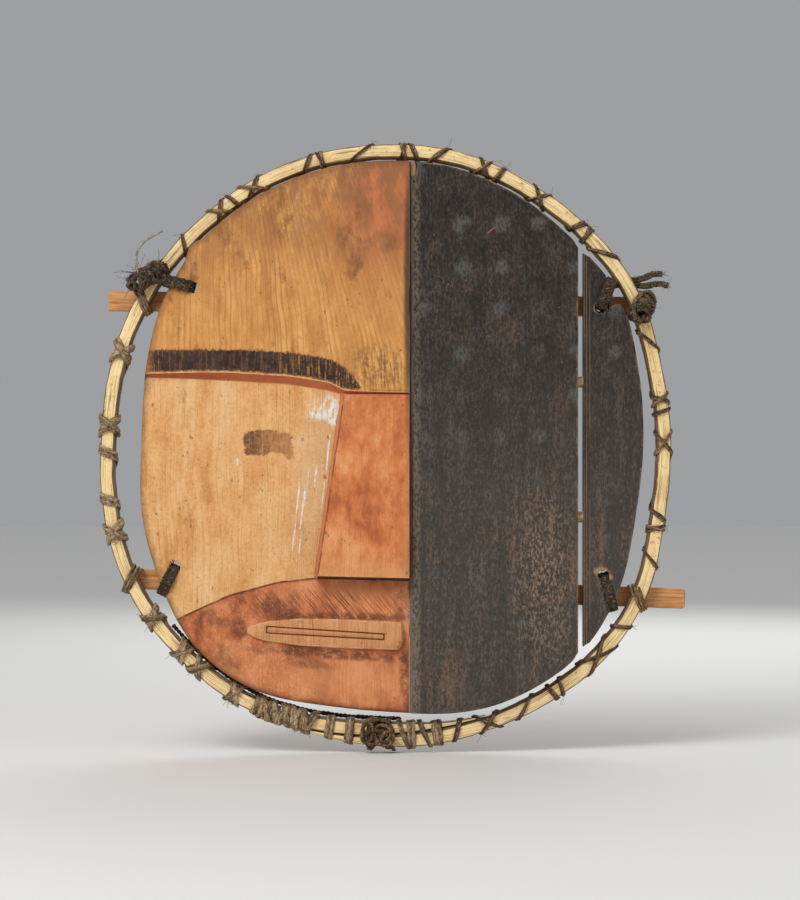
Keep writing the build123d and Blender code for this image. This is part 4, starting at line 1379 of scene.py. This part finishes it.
# Finishes
def carvedFaceFinish():
    f = Finish("ochreRubbedBoard", 0.62, 0.14)
    grain = f.mark("grain")
    x, y, z = f.split(f.place)
    metres = f.times(grain, mm)
    lineVector = f.join(metres, f.times(y, 0.3), f.times(z, 0.035))
    wideVector = f.join(metres, 0.0, f.times(z, 0.12))
    fibres = f.grainy(lineVector, 900, 3.0, 0.6)
    scratch = f.grainy(f.join(metres, 0.0, f.times(z, 0.012)), 1500, 2.0, 0.5)
    cloud = f.grainy(f.place, 14, 4.0, 0.6)
    blotch = f.grainy(f.stretch(f.place, (1, 1, 0.55)), 62, 5.0, 0.68)
    mottle = f.grainy(wideVector, 60, 4.0, 0.65)
    speckle = f.grainy(f.place, 520, 3.0, 0.7)
    # growth rings: a thin dark late line at the end of each
    drift = f.times(f.grainy(f.place, 11, 3.0, 0.5), 3.2)
    ring = f.work("FRACT", f.timesAdd(grain, 1 / carving["ringWide"], drift))
    late = f.times(f.between(ring, 0.50, 0.94), f.between(ring, 1.0, 0.95))
    late = f.times(late, f.timesAdd(f.between(f.grainy(wideVector, 30, 3.0), 0.35, 0.62), 0.75, 0.2))
    wood = f.ramp(f.timesAdd(blotch, 0.5, f.times(mottle, 0.5)),
                  [(0.34, (0.44, 0.175, 0.045)), (0.47, (0.62, 0.285, 0.080)), (0.56, (0.73, 0.37, 0.115)),
                   (0.68, (0.80, 0.45, 0.165))])
    wood = f.blend(f.times(late, 0.62), wood, (0.38, 0.14, 0.034))
    wood = f.blend(f.times(f.between(cloud, 0.45, 0.66), 0.6), wood, (0.56, 0.25, 0.07))
    cheekAmount = f.times(f.between(f.mark("aboveFoot"), 0.4, -0.6),
                          f.between(f.mark("besideNose"), 0.0, -3.0))
    cheek = f.ramp(f.timesAdd(blotch, 0.6, f.times(mottle, 0.4)),
                   [(0.32, (0.58, 0.245, 0.075)), (0.46, (0.72, 0.37, 0.135)), (0.56, (0.79, 0.455, 0.20)),
                    (0.70, (0.84, 0.54, 0.28))])
    cheek = f.blend(f.times(late, 0.20), cheek, (0.52, 0.23, 0.075))
    pinks = f.times(f.between(f.grainy(f.place, 28, 4.0, 0.6), 0.5, 0.68), 0.35)
    cheek = f.blend(pinks, cheek, (0.74, 0.335, 0.135))
    f.base = f.blend(f.times(cheekAmount, 0.92), wood, cheek)
    # orange-red ground on the brow's bevel, the nose and the muzzle
    redWorn = f.ramp(blotch, [(0.36, (0.42, 0.115, 0.042)), (0.47, (0.60, 0.185, 0.062)),
                              (0.56, (0.68, 0.245, 0.088)), (0.70, (0.76, 0.35, 0.15))])
    muzzleShade = f.ramp(f.timesAdd(blotch, 0.60, f.times(f.grainy(f.place, 24, 5.0, 0.62), 0.45)),
                         [(0.40, (0.20, 0.052, 0.027)), (0.47, (0.39, 0.105, 0.042)),
                          (0.53, (0.54, 0.165, 0.060)), (0.62, (0.70, 0.285, 0.12))])
    bevel = f.times(f.between(f.mark("aboveFoot"), -1.2, -0.2), f.between(f.mark("aboveBrow"), 0.35, -0.25))
    onNose = f.times(f.between(f.mark("besideNose"), -3.2, -2.4), f.between(f.mark("aboveFoot"), 0.5, -0.5))
    onNose = f.times(onNose, f.between(f.mark("aboveMuzzle"), -0.5, 0.4))
    onMuzzle = f.between(f.mark("aboveMuzzle"), 0.4, -0.4)
    nosePaint = f.blend(f.times(f.between(z, hoopMiddleUp - 0.080, hoopMiddleUp - 0.112), 0.8), redWorn,
                        (0.70, 0.335, 0.14))
    seamSide = f.times(f.between(x, 0.009, 0.0175), f.timesAdd(blotch, 1.1, -0.15))
    nosePaint = f.blend(f.times(seamSide, 0.45), nosePaint, (0.36, 0.12, 0.055))
    f.over(f.blend(f.between(cloud, 0.4, 0.6), (0.54, 0.155, 0.062), (0.40, 0.10, 0.043)), bevel)
    f.over(nosePaint, onNose)
    noseSide = f.times(onNose, f.between(f.mark("besideNose"), 0.1, -0.3))
    f.over((0.62, 0.19, 0.075), noseSide)
    redNearTop = f.patch((0.002, 0.192), (0.036, 0.054), 1.1, -22, 1.1, 34)
    f.over(f.blend(f.between(blotch, 0.42, 0.62), (0.56, 0.17, 0.07), (0.30, 0.09, 0.045)), redNearTop,
           0.85)
    f.over(muzzleShade, onMuzzle)
    topBright = f.times(onMuzzle, f.patch((-0.035, -0.122), (0.060, 0.011), 1.2, -3, 0.9, 40))
    f.over((0.72, 0.265, 0.105), topBright, 0.55)
    lowBright = f.times(onMuzzle, f.patch((-0.030, -0.190), (0.080, 0.016), 1.4, -4, 1.2, 45))
    f.over((0.72, 0.31, 0.13), lowBright, 0.55)
    # lips left almost bare
    inLips = f.between(f.mark("inLips"), -0.7, 0.1)
    lipWood = f.ramp(f.timesAdd(scratch, 0.6, f.times(blotch, 0.4)),
                     [(0.36, (0.40, 0.15, 0.062)), (0.50, (0.62, 0.285, 0.115)),
                      (0.66, (0.74, 0.42, 0.20))])
    f.over(lipWood, inLips)
    f.over((0.60, 0.22, 0.09), f.between(f.mark("inMouth"), 0.6, 1.4), 0.6)
    f.over((0.10, 0.038, 0.02), f.near(f.mark("inMouth"), 0.0, 0.80, 0.15), 0.92)
    lipGlint = f.near(f.mark("inLips"), 0.2, 0.8, 0.1)
    f.over((0.80, 0.52, 0.30), lipGlint, f.between(f.grainy(f.place, 120), 0.42, 0.58), 0.55)
    # diagonal strokes and smudges round the lips, and painted shadow under the lips
    strokeVector = f.join(f.add(x, f.times(z, 0.85)), 0.0, f.times(f.less(z, x), 0.03))
    strokes = f.grainy(strokeVector, 760, 2.0, 0.55)
    strokeBand = f.patch((-0.046, -0.1315), (0.070, 0.0125), 0.7, -4, 0.5, 60)
    offLips = f.between(f.mark("inLips"), 0.0, -1.0)
    strokeAmount = f.times(strokeBand, onMuzzle, f.between(strokes, 0.49, 0.58))
    f.over((0.15, 0.05, 0.032), strokeAmount, offLips, 0.80)
    smudgeAndShadow = f.between(f.grainy(f.place, 150, 4.0, 0.7), 0.36, 0.56)
    # the first spot is painted shadow under the raised lips; the others are smudges
    for centre, size, tilt, amount in (((-0.040, -0.1685), (0.066, 0.0042), -3.5, 0.85),
                                       ((-0.030, -0.1385), (0.070, 0.0030), -1, 0.75),
                                       ((-0.117, -0.148), (0.0055, 0.0085), 10, 0.95),
                                       ((-0.139, -0.139), (0.013, 0.006), -20, 0.6),
                                       ((-0.128, -0.172), (0.014, 0.007), -40, 0.5),
                                       ((-0.095, -0.127), (0.012, 0.0045), -15, 0.5),
                                       ((-0.166, -0.150), (0.006, 0.014), 25, 0.6),
                                       ((-0.105, -0.203), (0.030, 0.0055), -25, 0.7),
                                       ((-0.040, -0.216), (0.060, 0.0045), -5, 0.85),
                                       ((0.0145, -0.178), (0.0040, 0.034), 3, 0.80),
                                       ((0.0120, -0.120), (0.0050, 0.018), 0, 0.45),
                                       ((-0.060, -0.176), (0.020, 0.004), -8, 0.5)):
        spot = f.times(f.patch(centre, size, 1.1, tilt, 0.9, 130), onMuzzle, offLips)
        f.over((0.13, 0.042, 0.028), spot, smudgeAndShadow, amount)
    # the painted brow, brushed downwards
    brushVector = f.join(x, 0.0, f.times(z, 0.06))
    brush = f.less(f.grainy(brushVector, 520, 5.0, 0.75), 0.5)
    fleck = f.less(f.grainy(f.place, 300, 4.0, 0.7), 0.5)
    inBrow = f.add(f.mark("inBrow"), f.timesAdd(brush, 5.0, f.times(fleck, 6.0)))
    browMask = f.times(f.between(inBrow, -0.6, 1.6), f.between(f.mark("aboveBrow"), 0.9, 1.8))
    browMask = f.times(browMask, f.between(f.timesAdd(brush, 0.014, x), -0.197, -0.183))
    thin = f.add(f.times(f.between(x, -0.100, -0.030), 0.55), f.times(f.between(x, -0.172, -0.192), 0.5))
    worn = f.times(f.between(f.timesAdd(fleck, 0.4, brush), 0.015, 0.11), f.add(thin, 0.16))
    browPaint = f.blend(f.between(f.grainy(f.place, 180, 3.0), 0.4, 0.6), (0.026, 0.016, 0.014),
                        (0.052, 0.031, 0.025))
    browAmount = f.times(browMask, f.less(0.98, worn))
    f.over(browPaint, browAmount)
    browDust = f.times(f.patch((-0.004, 0.058), (0.024, 0.0165), 1.3, -20, 1.1, 80),
                       f.between(f.mark("aboveBrow"), 0.0, 2.0))
    dustBreak = f.between(f.timesAdd(fleck, 0.7, brush), -0.10, 0.14)
    f.over((0.125, 0.068, 0.038), browDust, dustBreak, 0.85)
    browLine = f.times(f.near(f.mark("aboveBrow"), 0.5, 0.7, 0.1),
                       f.between(f.grainy(f.place, 260), 0.42, 0.56))
    f.over((0.66, 0.46, 0.25), browLine, f.between(f.mark("besideNose"), 4, -2), 0.8)
    browShade = f.times(f.near(f.mark("aboveBrow"), 1.3, 0.7, 0.1),
                        f.between(f.grainy(f.place, 200), 0.45, 0.6))
    f.over((0.08, 0.035, 0.02), browShade, 0.6)
    # the brushed eye
    inEye = f.add(f.mark("inEye"), f.timesAdd(brush, 5.0, f.times(fleck, 5.0)))
    eyeMask = f.between(inEye, -0.5, 0.9)
    eyeDark = f.add(f.times(f.between(x, -0.078, -0.112), 0.55),
                    f.timesAdd(brush, 1.5, f.times(fleck, 1.2)))
    eyeColour = f.ramp(eyeDark, [(0.0, (0.47, 0.215, 0.085)), (0.32, (0.29, 0.125, 0.05)),
                                 (0.62, (0.105, 0.048, 0.024))])
    f.over(eyeColour, eyeMask, 0.93)
    # white left in the corner by the nose, and thin runs down the cheek
    whiteVector = f.join(x, 0.0, f.times(z, 0.25))
    whiteBreak = f.grainy(whiteVector, 420, 4.0, 0.75)
    white = f.times(f.patch((-0.0495, 0.0275), (0.0125, 0.0080), 0.8, 25, 0.9, 120),
                    f.between(whiteBreak, 0.47, 0.53))
    white = f.work("MAXIMUM", white, f.times(f.patch((-0.0425, 0.0235), (0.0040, 0.0100), 0.5, 0, 0.8, 120),
                                             f.between(whiteBreak, 0.42, 0.49)))
    for centre, size, tilt in (((-0.0462, -0.008), (0.0007, 0.016), -6),
                               ((-0.0560, -0.026), (0.0007, 0.0085), -6),
                               ((-0.0633, -0.036), (0.0006, 0.014), -7),
                               ((-0.0665, -0.052), (0.0007, 0.018), -7),
                               ((-0.0705, -0.046), (0.0006, 0.012), -7),
                               ((-0.0735, -0.075), (0.0006, 0.012), -7),
                               ((-0.0685, -0.080), (0.0006, 0.009), -7),
                               ((-0.1185, -0.0152), (0.0010, 0.0030), 0),
                               ((-0.0500, -0.040), (0.0005, 0.012), -7)):
        run = f.times(f.patch(centre, size, 0.6, tilt, 0.5, 260), f.between(whiteBreak, 0.40, 0.52))
        white = f.work("MAXIMUM", white, run)
    white = f.times(white, f.between(f.mark("besideNose"), -2.2, -2.8))
    dusty = f.times(f.patch((-0.056, -0.030), (0.016, 0.065), 1.4, -8, 0.5, 60), cheekAmount)
    f.over((0.62, 0.42, 0.24), dusty, 0.42)
    f.over((0.80, 0.79, 0.76), white, 0.92)
    # dark carved lines, painted shade along the muzzle's step, painted shadow under the nose, small specks,
    # grime at the rim and by the seam
    lineBreak = f.timesAdd(f.between(f.grainy(f.place, 150, 4.0), 0.36, 0.54), 0.75, 0.25)
    # painted shade along the step where the muzzle sinks below the cheek
    muzzleStepShade = f.times(f.near(f.mark("aboveMuzzle"), 0.1, 0.85, 0.25), lineBreak)
    f.over((0.055, 0.026, 0.016), muzzleStepShade, 0.9)
    # painted shadow under the nose's lower edge
    noseUnderShadow = f.times(f.near(f.mark("aboveMuzzle"), 0.7, 1.7, 1.2),
                       f.between(f.mark("besideNose"), -0.5, 0.5))
    f.over((0.03, 0.017, 0.012), noseUnderShadow)
    noseLine = f.times(f.near(f.mark("besideNose"), 0.2, 0.75, 0.2), onNose)
    f.over((0.075, 0.032, 0.02), noseLine, lineBreak, 0.85)
    noseBack = f.times(f.near(f.mark("besideNose"), -2.7, 0.6, 0.1),
                       f.between(f.mark("aboveFoot"), 0.0, -1.0),
                       f.between(f.mark("aboveMuzzle"), -0.2, 0.4))
    f.over((0.14, 0.07, 0.04), noseBack, lineBreak, 0.55)
    specks = f.between(f.grainy(f.stretch(f.place, (1, 1, 0.6)), 330, 1.0, 0.4), 0.735, 0.775)
    f.over((0.14, 0.065, 0.03), specks, 0.6)
    topNess = f.between(z, hoopMiddleUp + 0.085, hoopMiddleUp + 0.215)
    stains = f.between(f.timesAdd(topNess, 0.05, f.grainy(f.stretch(f.place, (1, 1, 0.6)), 55, 6.0, 0.72)),
                       0.56, 0.72)
    stains = f.times(stains, f.between(f.mark("aboveBrow"), -40.0, 20.0))
    f.over((0.21, 0.08, 0.034), stains, 0.85)
    cheekStain = f.times(f.between(f.grainy(f.stretch(f.place, (1, 1, 0.45)), 48, 6.0, 0.74), 0.60, 0.74),
                         cheekAmount)
    f.over((0.40, 0.15, 0.045), cheekStain, 0.75)
    topStain = f.times(topNess,
                       f.between(f.grainy(f.stretch(f.place, (1, 1, 0.4)), 85, 6.0, 0.72), 0.33, 0.60))
    f.over((0.27, 0.115, 0.05), topStain, 0.85)
    bare = f.less(1.0, browAmount)
    f.over((0.31, 0.12, 0.045), f.between(speckle, 0.50, 0.68), bare, 0.24)
    f.over((0.31, 0.12, 0.04), f.between(scratch, 0.53, 0.68), bare, 0.34)
    pale = f.times(f.between(speckle, 0.46, 0.32), bare, f.timesAdd(cheekAmount, 0.20, 0.0))
    f.over((0.90, 0.64, 0.38), pale)
    rim = f.times(f.between(f.timesAdd(fleck, 5.0, f.mark("edgeIn")), 6.5, 0.2),
                  f.timesAdd(f.grainy(f.place, 60), 0.9, 0.3))
    f.over((0.13, 0.058, 0.03), rim, 0.75)
    seamSmoke = f.times(f.patch((0.0175, 0.120), (0.0030, 0.085), 1.2, 0, 0.8, 60), 0.85)
    f.over((0.045, 0.028, 0.02), seamSmoke)
    f.over(f.blend(f.between(f.grainy(lineVector, 230), 0.35, 0.62), (0.30, 0.155, 0.07),
                   (0.44, 0.25, 0.12)), f.mark("atBack"))
    f.paintIt()
    f.rough(f.timesAdd(fibres, 0.22, 0.50))
    height = f.add(f.times(late, 0.35), f.times(fibres, 0.6))
    f.bump(f.add(height, f.times(speckle, 0.7)), 0.4, 0.0006)
    return f.material


def darkBoardFinish():
    f = Finish("wornBlackBoard", 0.7, 0.12)
    x, y, z = f.split(f.place)
    metres = f.times(f.mark("grain"), mm)
    lineVector = f.join(metres, f.times(y, 0.3), f.times(z, 0.06))
    fibres = f.grainy(lineVector, 620, 4.0, 0.65)
    streaks = f.grainy(lineVector, 130, 4.0, 0.65)
    cloud = f.grainy(f.place, 16, 5.0, 0.62)
    patchy = f.grainy(f.stretch(f.place, (1, 1, 0.7)), 45, 6.0, 0.72)
    fine = f.grainy(f.stretch(f.place, (1, 1, 0.5)), 560, 4.0, 0.78)
    value = f.timesAdd(fine, 0.5, f.timesAdd(fibres, 0.22, f.times(patchy, 0.28)))
    f.base = f.ramp(value, [(0.36, (0.012, 0.010, 0.009)), (0.50, (0.030, 0.025, 0.022)),
                            (0.64, (0.084, 0.066, 0.052))])
    lower = f.between(z, hoopMiddleUp + 0.070, hoopMiddleUp - 0.130)
    faded = f.timesAdd(f.between(z, hoopMiddleUp + 0.170, hoopMiddleUp - 0.060), 0.20, f.times(lower, 0.10))
    f.over((0.135, 0.112, 0.092), faded)
    rusty = f.times(f.between(patchy, 0.53, 0.67), f.between(fine, 0.38, 0.62))
    f.over((0.13, 0.058, 0.032), rusty, 0.42)
    wear = f.between(f.timesAdd(fine, 0.62, f.times(streaks, 0.42)), 0.50, 0.66)
    wear = f.times(wear, f.timesAdd(lower, 0.36, 0.10))
    f.over(f.blend(f.between(cloud, 0.40, 0.62), (0.20, 0.165, 0.135), (0.30, 0.175, 0.10)), wear)
    bright = f.times(f.patch((0.126, -0.112), (0.018, 0.060), 1.5, 0, 1.0, 40), f.between(fine, 0.46, 0.64))
    f.over((0.36, 0.25, 0.16), bright, 0.62)
    blueGrey = f.times(f.between(f.grainy(f.place, 30, 4.0), 0.50, 0.66), f.between(fine, 0.42, 0.62))
    f.over((0.080, 0.084, 0.084), blueGrey, 0.34)
    # faint pale spots in rows and columns on the upper part
    spotWide, spotTall = darkBoards["spotWide"], darkBoards["spotTall"]
    spotX = f.work("DIVIDE", f.less(x, spotWide / 2), spotWide)
    spotZ = f.work("DIVIDE", f.less(z, hoopMiddleUp + 0.0384 - spotTall / 2), spotTall)
    nearX = f.times(f.less(f.work("FRACT", spotX), 0.5), spotWide)
    nearZ = f.times(f.less(f.work("FRACT", spotZ), 0.5), spotTall)
    reach = f.work("SQRT", f.add(f.times(nearX, nearX), f.times(nearZ, nearZ)))
    reach = f.timesAdd(f.less(f.grainy(f.place, 90, 3.0), 0.5), 0.008, reach)
    cell = f.join(f.work("FLOOR", spotX), 3.0, f.work("FLOOR", spotZ))
    luck = f.between(f.grainy(cell, 0.83, 0.0), 0.38, 0.60)
    spots = f.times(f.between(reach, 0.0085, 0.0035),
                    f.between(z, hoopMiddleUp - 0.09, hoopMiddleUp + 0.03))
    spots = f.times(spots, luck, f.between(z, hoopMiddleUp + 0.215, hoopMiddleUp + 0.185))
    f.over((0.130, 0.130, 0.122), spots, f.between(fine, 0.30, 0.62), 0.55)
    # worn edges, the pale bevel by the seam and the chip at its top
    edge = f.times(f.between(f.timesAdd(f.less(fine, 0.5), 6.0, f.mark("edgeIn")), 1.6, 0.1),
                   f.between(f.grainy(f.place, 70, 4.0), 0.42, 0.58))
    f.over((0.34, 0.22, 0.125), edge, 0.65)
    bevel = f.times(f.between(f.mark("seamIn"), 3.2, 2.0),
                    f.timesAdd(f.between(fibres, 0.35, 0.62), 0.45, 0.30))
    bevel = f.work("MAXIMUM", bevel, f.times(f.between(f.mark("seamIn"), 11.0, 6.0),
                                             f.between(fine, 0.38, 0.58), f.timesAdd(lower, 0.35, 0.45)))
    f.over((0.21, 0.168, 0.124), bevel)
    ledge = f.mark("rabbetIn")
    for place in (0.5, 2.4, 4.7):
        line = f.times(f.near(ledge, place, 0.45, 0.1),
                       f.between(f.grainy(lineVector, 160, 4.0), 0.38, 0.56))
        f.over((0.30, 0.20, 0.12), line, 0.6)
    chip = f.patch((0.0212, 0.219), (0.0025, 0.006), 0.4, 0, 0.3, 120)
    f.over((0.30, 0.17, 0.09), chip)
    scratch = f.patch((0.0835, 0.1695), (0.0048, 0.0007), 0.5, 38, 0.8, 260)
    f.over((0.34, 0.10, 0.045), scratch, 0.8)
    for centre, size in (((0.172, -0.103), (0.006, 0.004)), ((0.176, -0.1065), (0.005, 0.003))):
        f.over((0.42, 0.26, 0.14), f.patch(centre, size, 0.6, -15, 0.8, 150), 0.8)
    specks = f.between(f.grainy(f.place, 430, 1.0, 0.4), 0.745, 0.785)
    f.over((0.34, 0.26, 0.17), specks, 0.5)
    f.over(f.blend(f.between(streaks, 0.35, 0.62), (0.24, 0.125, 0.06), (0.38, 0.22, 0.11)),
           f.mark("atBack"))
    f.paintIt()
    f.rough(f.timesAdd(fine, 0.3, 0.42))
    height = f.add(f.times(fibres, 0.7), f.times(fine, 0.7))
    f.bump(height, 0.5, 0.0007)
    return f.material


def peeledRodFinish():
    f = Finish("peeledRodWood", 0.5, 0.35)
    along, across = f.mark("along"), f.mark("across")
    lengthwise = f.join(f.times(along, 0.00006), f.times(across, 0.001), 0.0)
    lines = f.grainy(lengthwise, 700, 4.0, 0.65)
    longLines = f.grainy(f.join(f.times(along, 0.000018), f.times(across, 0.001), 2.0), 1300, 2.0, 0.5)
    cloud = f.grainy(f.place, 30, 4.0, 0.6)
    f.base = f.ramp(lines, [(0.30, (0.68, 0.43, 0.175)), (0.48, (0.87, 0.635, 0.30)),
                            (0.66, (0.95, 0.76, 0.42))])
    f.over((0.66, 0.43, 0.18), f.between(cloud, 0.48, 0.68), 0.6)
    dark = f.between(longLines, 0.59, 0.64)
    f.over((0.16, 0.09, 0.045), dark, 0.8)
    flecks = f.between(f.grainy(f.place, 300, 3.0, 0.6), 0.60, 0.70)
    f.over((0.26, 0.13, 0.06), flecks, 0.65)
    blotch = f.between(f.grainy(f.place, 75, 5.0, 0.72), 0.58, 0.72)
    f.over((0.33, 0.17, 0.075), blotch, 0.62)
    # the rod's sides and back darkened: partly bark left on them, partly painted shade
    uneven = f.less(f.grainy(f.place, 110, 4.0), 0.5)
    barkAndShadeAmount = f.between(f.timesAdd(uneven, 0.9, f.mark("side")), 0.30, 0.80)
    f.over(f.ramp(lines, [(0.35, (0.040, 0.023, 0.013)), (0.64, (0.20, 0.12, 0.058))]), barkAndShadeAmount, 0.94)
    f.paintIt()
    f.rough(f.timesAdd(lines, 0.25, 0.38))
    f.bump(f.add(f.times(lines, 0.8), f.times(longLines, 0.5)), 0.4, 0.0005)
    return f.material


# dark, middle and pale shade of each fibre
fibreShades = {
    "splitRootStrip": ((0.016, 0.009, 0.005), (0.130, 0.070, 0.032), (0.60, 0.38, 0.18)),
    "driedPaleRoot": ((0.026, 0.014, 0.008), (0.190, 0.112, 0.056), (0.62, 0.45, 0.26)),
    "plaitedDarkCord": ((0.012, 0.008, 0.006), (0.070, 0.044, 0.026), (0.44, 0.30, 0.16)),
}


def fibreFinish(name, roughness):
    dark, middle, pale = fibreShades[name]
    f = Finish(name, roughness, 0.3)
    along, across, tone = f.mark("along"), f.mark("across"), f.mark("tone")
    strand = f.join(f.times(along, 0.10), f.times(across, 1.1), f.times(tone, 7.0))
    fibres = f.grainy(strand, 2.2, 4.0, 0.75)
    spots = f.grainy(f.place, 420, 3.0, 0.65)
    value = f.add(f.timesAdd(f.less(fibres, 0.5), 1.7, 0.37), f.times(f.less(tone, 0.4), 0.40))
    value = f.timesAdd(f.less(spots, 0.5), 0.7, value)
    f.base = f.ramp(value, [(0.16, dark), (0.42, middle), (0.80, pale)])
    f.paintIt()
    f.bump(fibres, 0.7, 0.0006)
    return f.material


def splitLathFinish():
    f = Finish("splitLathWood", 0.6, 0.3)
    lengthwise = f.stretch(f.place, (0.06, 1, 1))
    lines = f.grainy(lengthwise, 520, 4.0, 0.65)
    cloud = f.grainy(f.place, 35, 4.0, 0.6)
    f.base = f.ramp(lines, [(0.30, (0.34, 0.125, 0.042)), (0.50, (0.60, 0.27, 0.092)),
                            (0.70, (0.76, 0.40, 0.155))])
    f.over((0.36, 0.15, 0.055), f.between(cloud, 0.5, 0.7), 0.45)
    knots = f.between(f.grainy(f.place, 130, 3.0, 0.6), 0.66, 0.73)
    f.over((0.05, 0.025, 0.015), knots, 0.8)
    f.paintIt()
    f.rough(f.timesAdd(lines, 0.3, 0.45))
    f.bump(lines, 0.7, 0.0008)
    return f.material


def dowelFinish():
    f = Finish("whittledDowelWood", 0.55, 0.3)
    lines = f.grainy(f.stretch(f.place, (0.1, 1, 1)), 600, 3.0, 0.6)
    f.base = f.ramp(lines, [(0.32, (0.60, 0.37, 0.17)), (0.55, (0.80, 0.56, 0.29)),
                            (0.72, (0.88, 0.66, 0.38))])
    f.paintIt()
    f.bump(lines, 0.5, 0.0005)
    return f.material


def sinewFinish():
    f = Finish("drySinew", 0.45, 0.4)
    streaks = f.grainy(f.place, 300, 4.0, 0.6)
    f.base = f.ramp(streaks, [(0.35, (0.13, 0.10, 0.07)), (0.62, (0.40, 0.35, 0.26))])
    f.paintIt()
    f.bump(streaks, 0.5, 0.0004)
    return f.material


rootFinish = fibreFinish("splitRootStrip", 0.5)
paleRootFinish = fibreFinish("driedPaleRoot", 0.55)
cordFinish = fibreFinish("plaitedDarkCord", 0.55)
faceFinish = carvedFaceFinish()
darkFinish = darkBoardFinish()
rodFinish = peeledRodFinish()
lathFinish = splitLathFinish()
pegFinish = dowelFinish()
looseFinish = sinewFinish()
print("finishes made")

buildFaceBoard(faceFinish)
buildMiddleBoard(darkFinish)
buildNarrowBoard(darkFinish)
buildHoop(rodFinish)
buildThinLashings(rootFinish)
buildWideLashings(paleRootFinish)
buildScarfBands(paleRootFinish)
buildScarfWinding(paleRootFinish)
buildScarfKnot(rootFinish)
buildTies(cordFinish)
buildKnots(cordFinish)
buildBindings(rootFinish, paleRootFinish)
buildInnerRope(cordFinish)

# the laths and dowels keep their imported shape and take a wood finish
for node, finish in (("upper_cross_stick", lathFinish), ("lower_cross_stick", lathFinish),
                     ("centre_dowels", pegFinish), ("outer_dowels", pegFinish)):
    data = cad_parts[node].data
    data.materials.clear()
    data.materials.append(finish)


# The loose end of sinew, a free cord on its packed route, in metres
looseEnd = {
    "route": [(-0.194153, -0.0300, 0.017096), (-0.200153, -0.0315, 0.029096),
              (-0.198153, -0.0325, 0.042096), (-0.189153, -0.0320, 0.052096),
              (-0.178153, -0.0305, 0.057096)],
    "radius": 0.001,
    "length": 0.0511,
}


def buildLooseEnd(finish):
    # a stiff end that curls up from the upper left knot
    route = looseEnd["route"]
    data = bpy.data.curves.new("sinew_loose_end", "CURVE")
    data.dimensions = "3D"
    data.bevel_depth = looseEnd["radius"]
    data.bevel_resolution = 3
    data.resolution_u = 12
    data.use_fill_caps = True
    line = data.splines.new("NURBS")
    line.points.add(len(route) - 1)
    for point, spot in zip(line.points, route):
        point.co = (*spot, 1)
    line.order_u = 3
    line.use_endpoint_u = True
    data.materials.append(finish)
    piece = bpy.data.objects.new("sinew_loose_end", data)
    bpy.context.scene.collection.objects.link(piece)
    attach(piece, "root")
    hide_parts("upper_left_tail")


buildLooseEnd(looseFinish)
print("all pieces made")
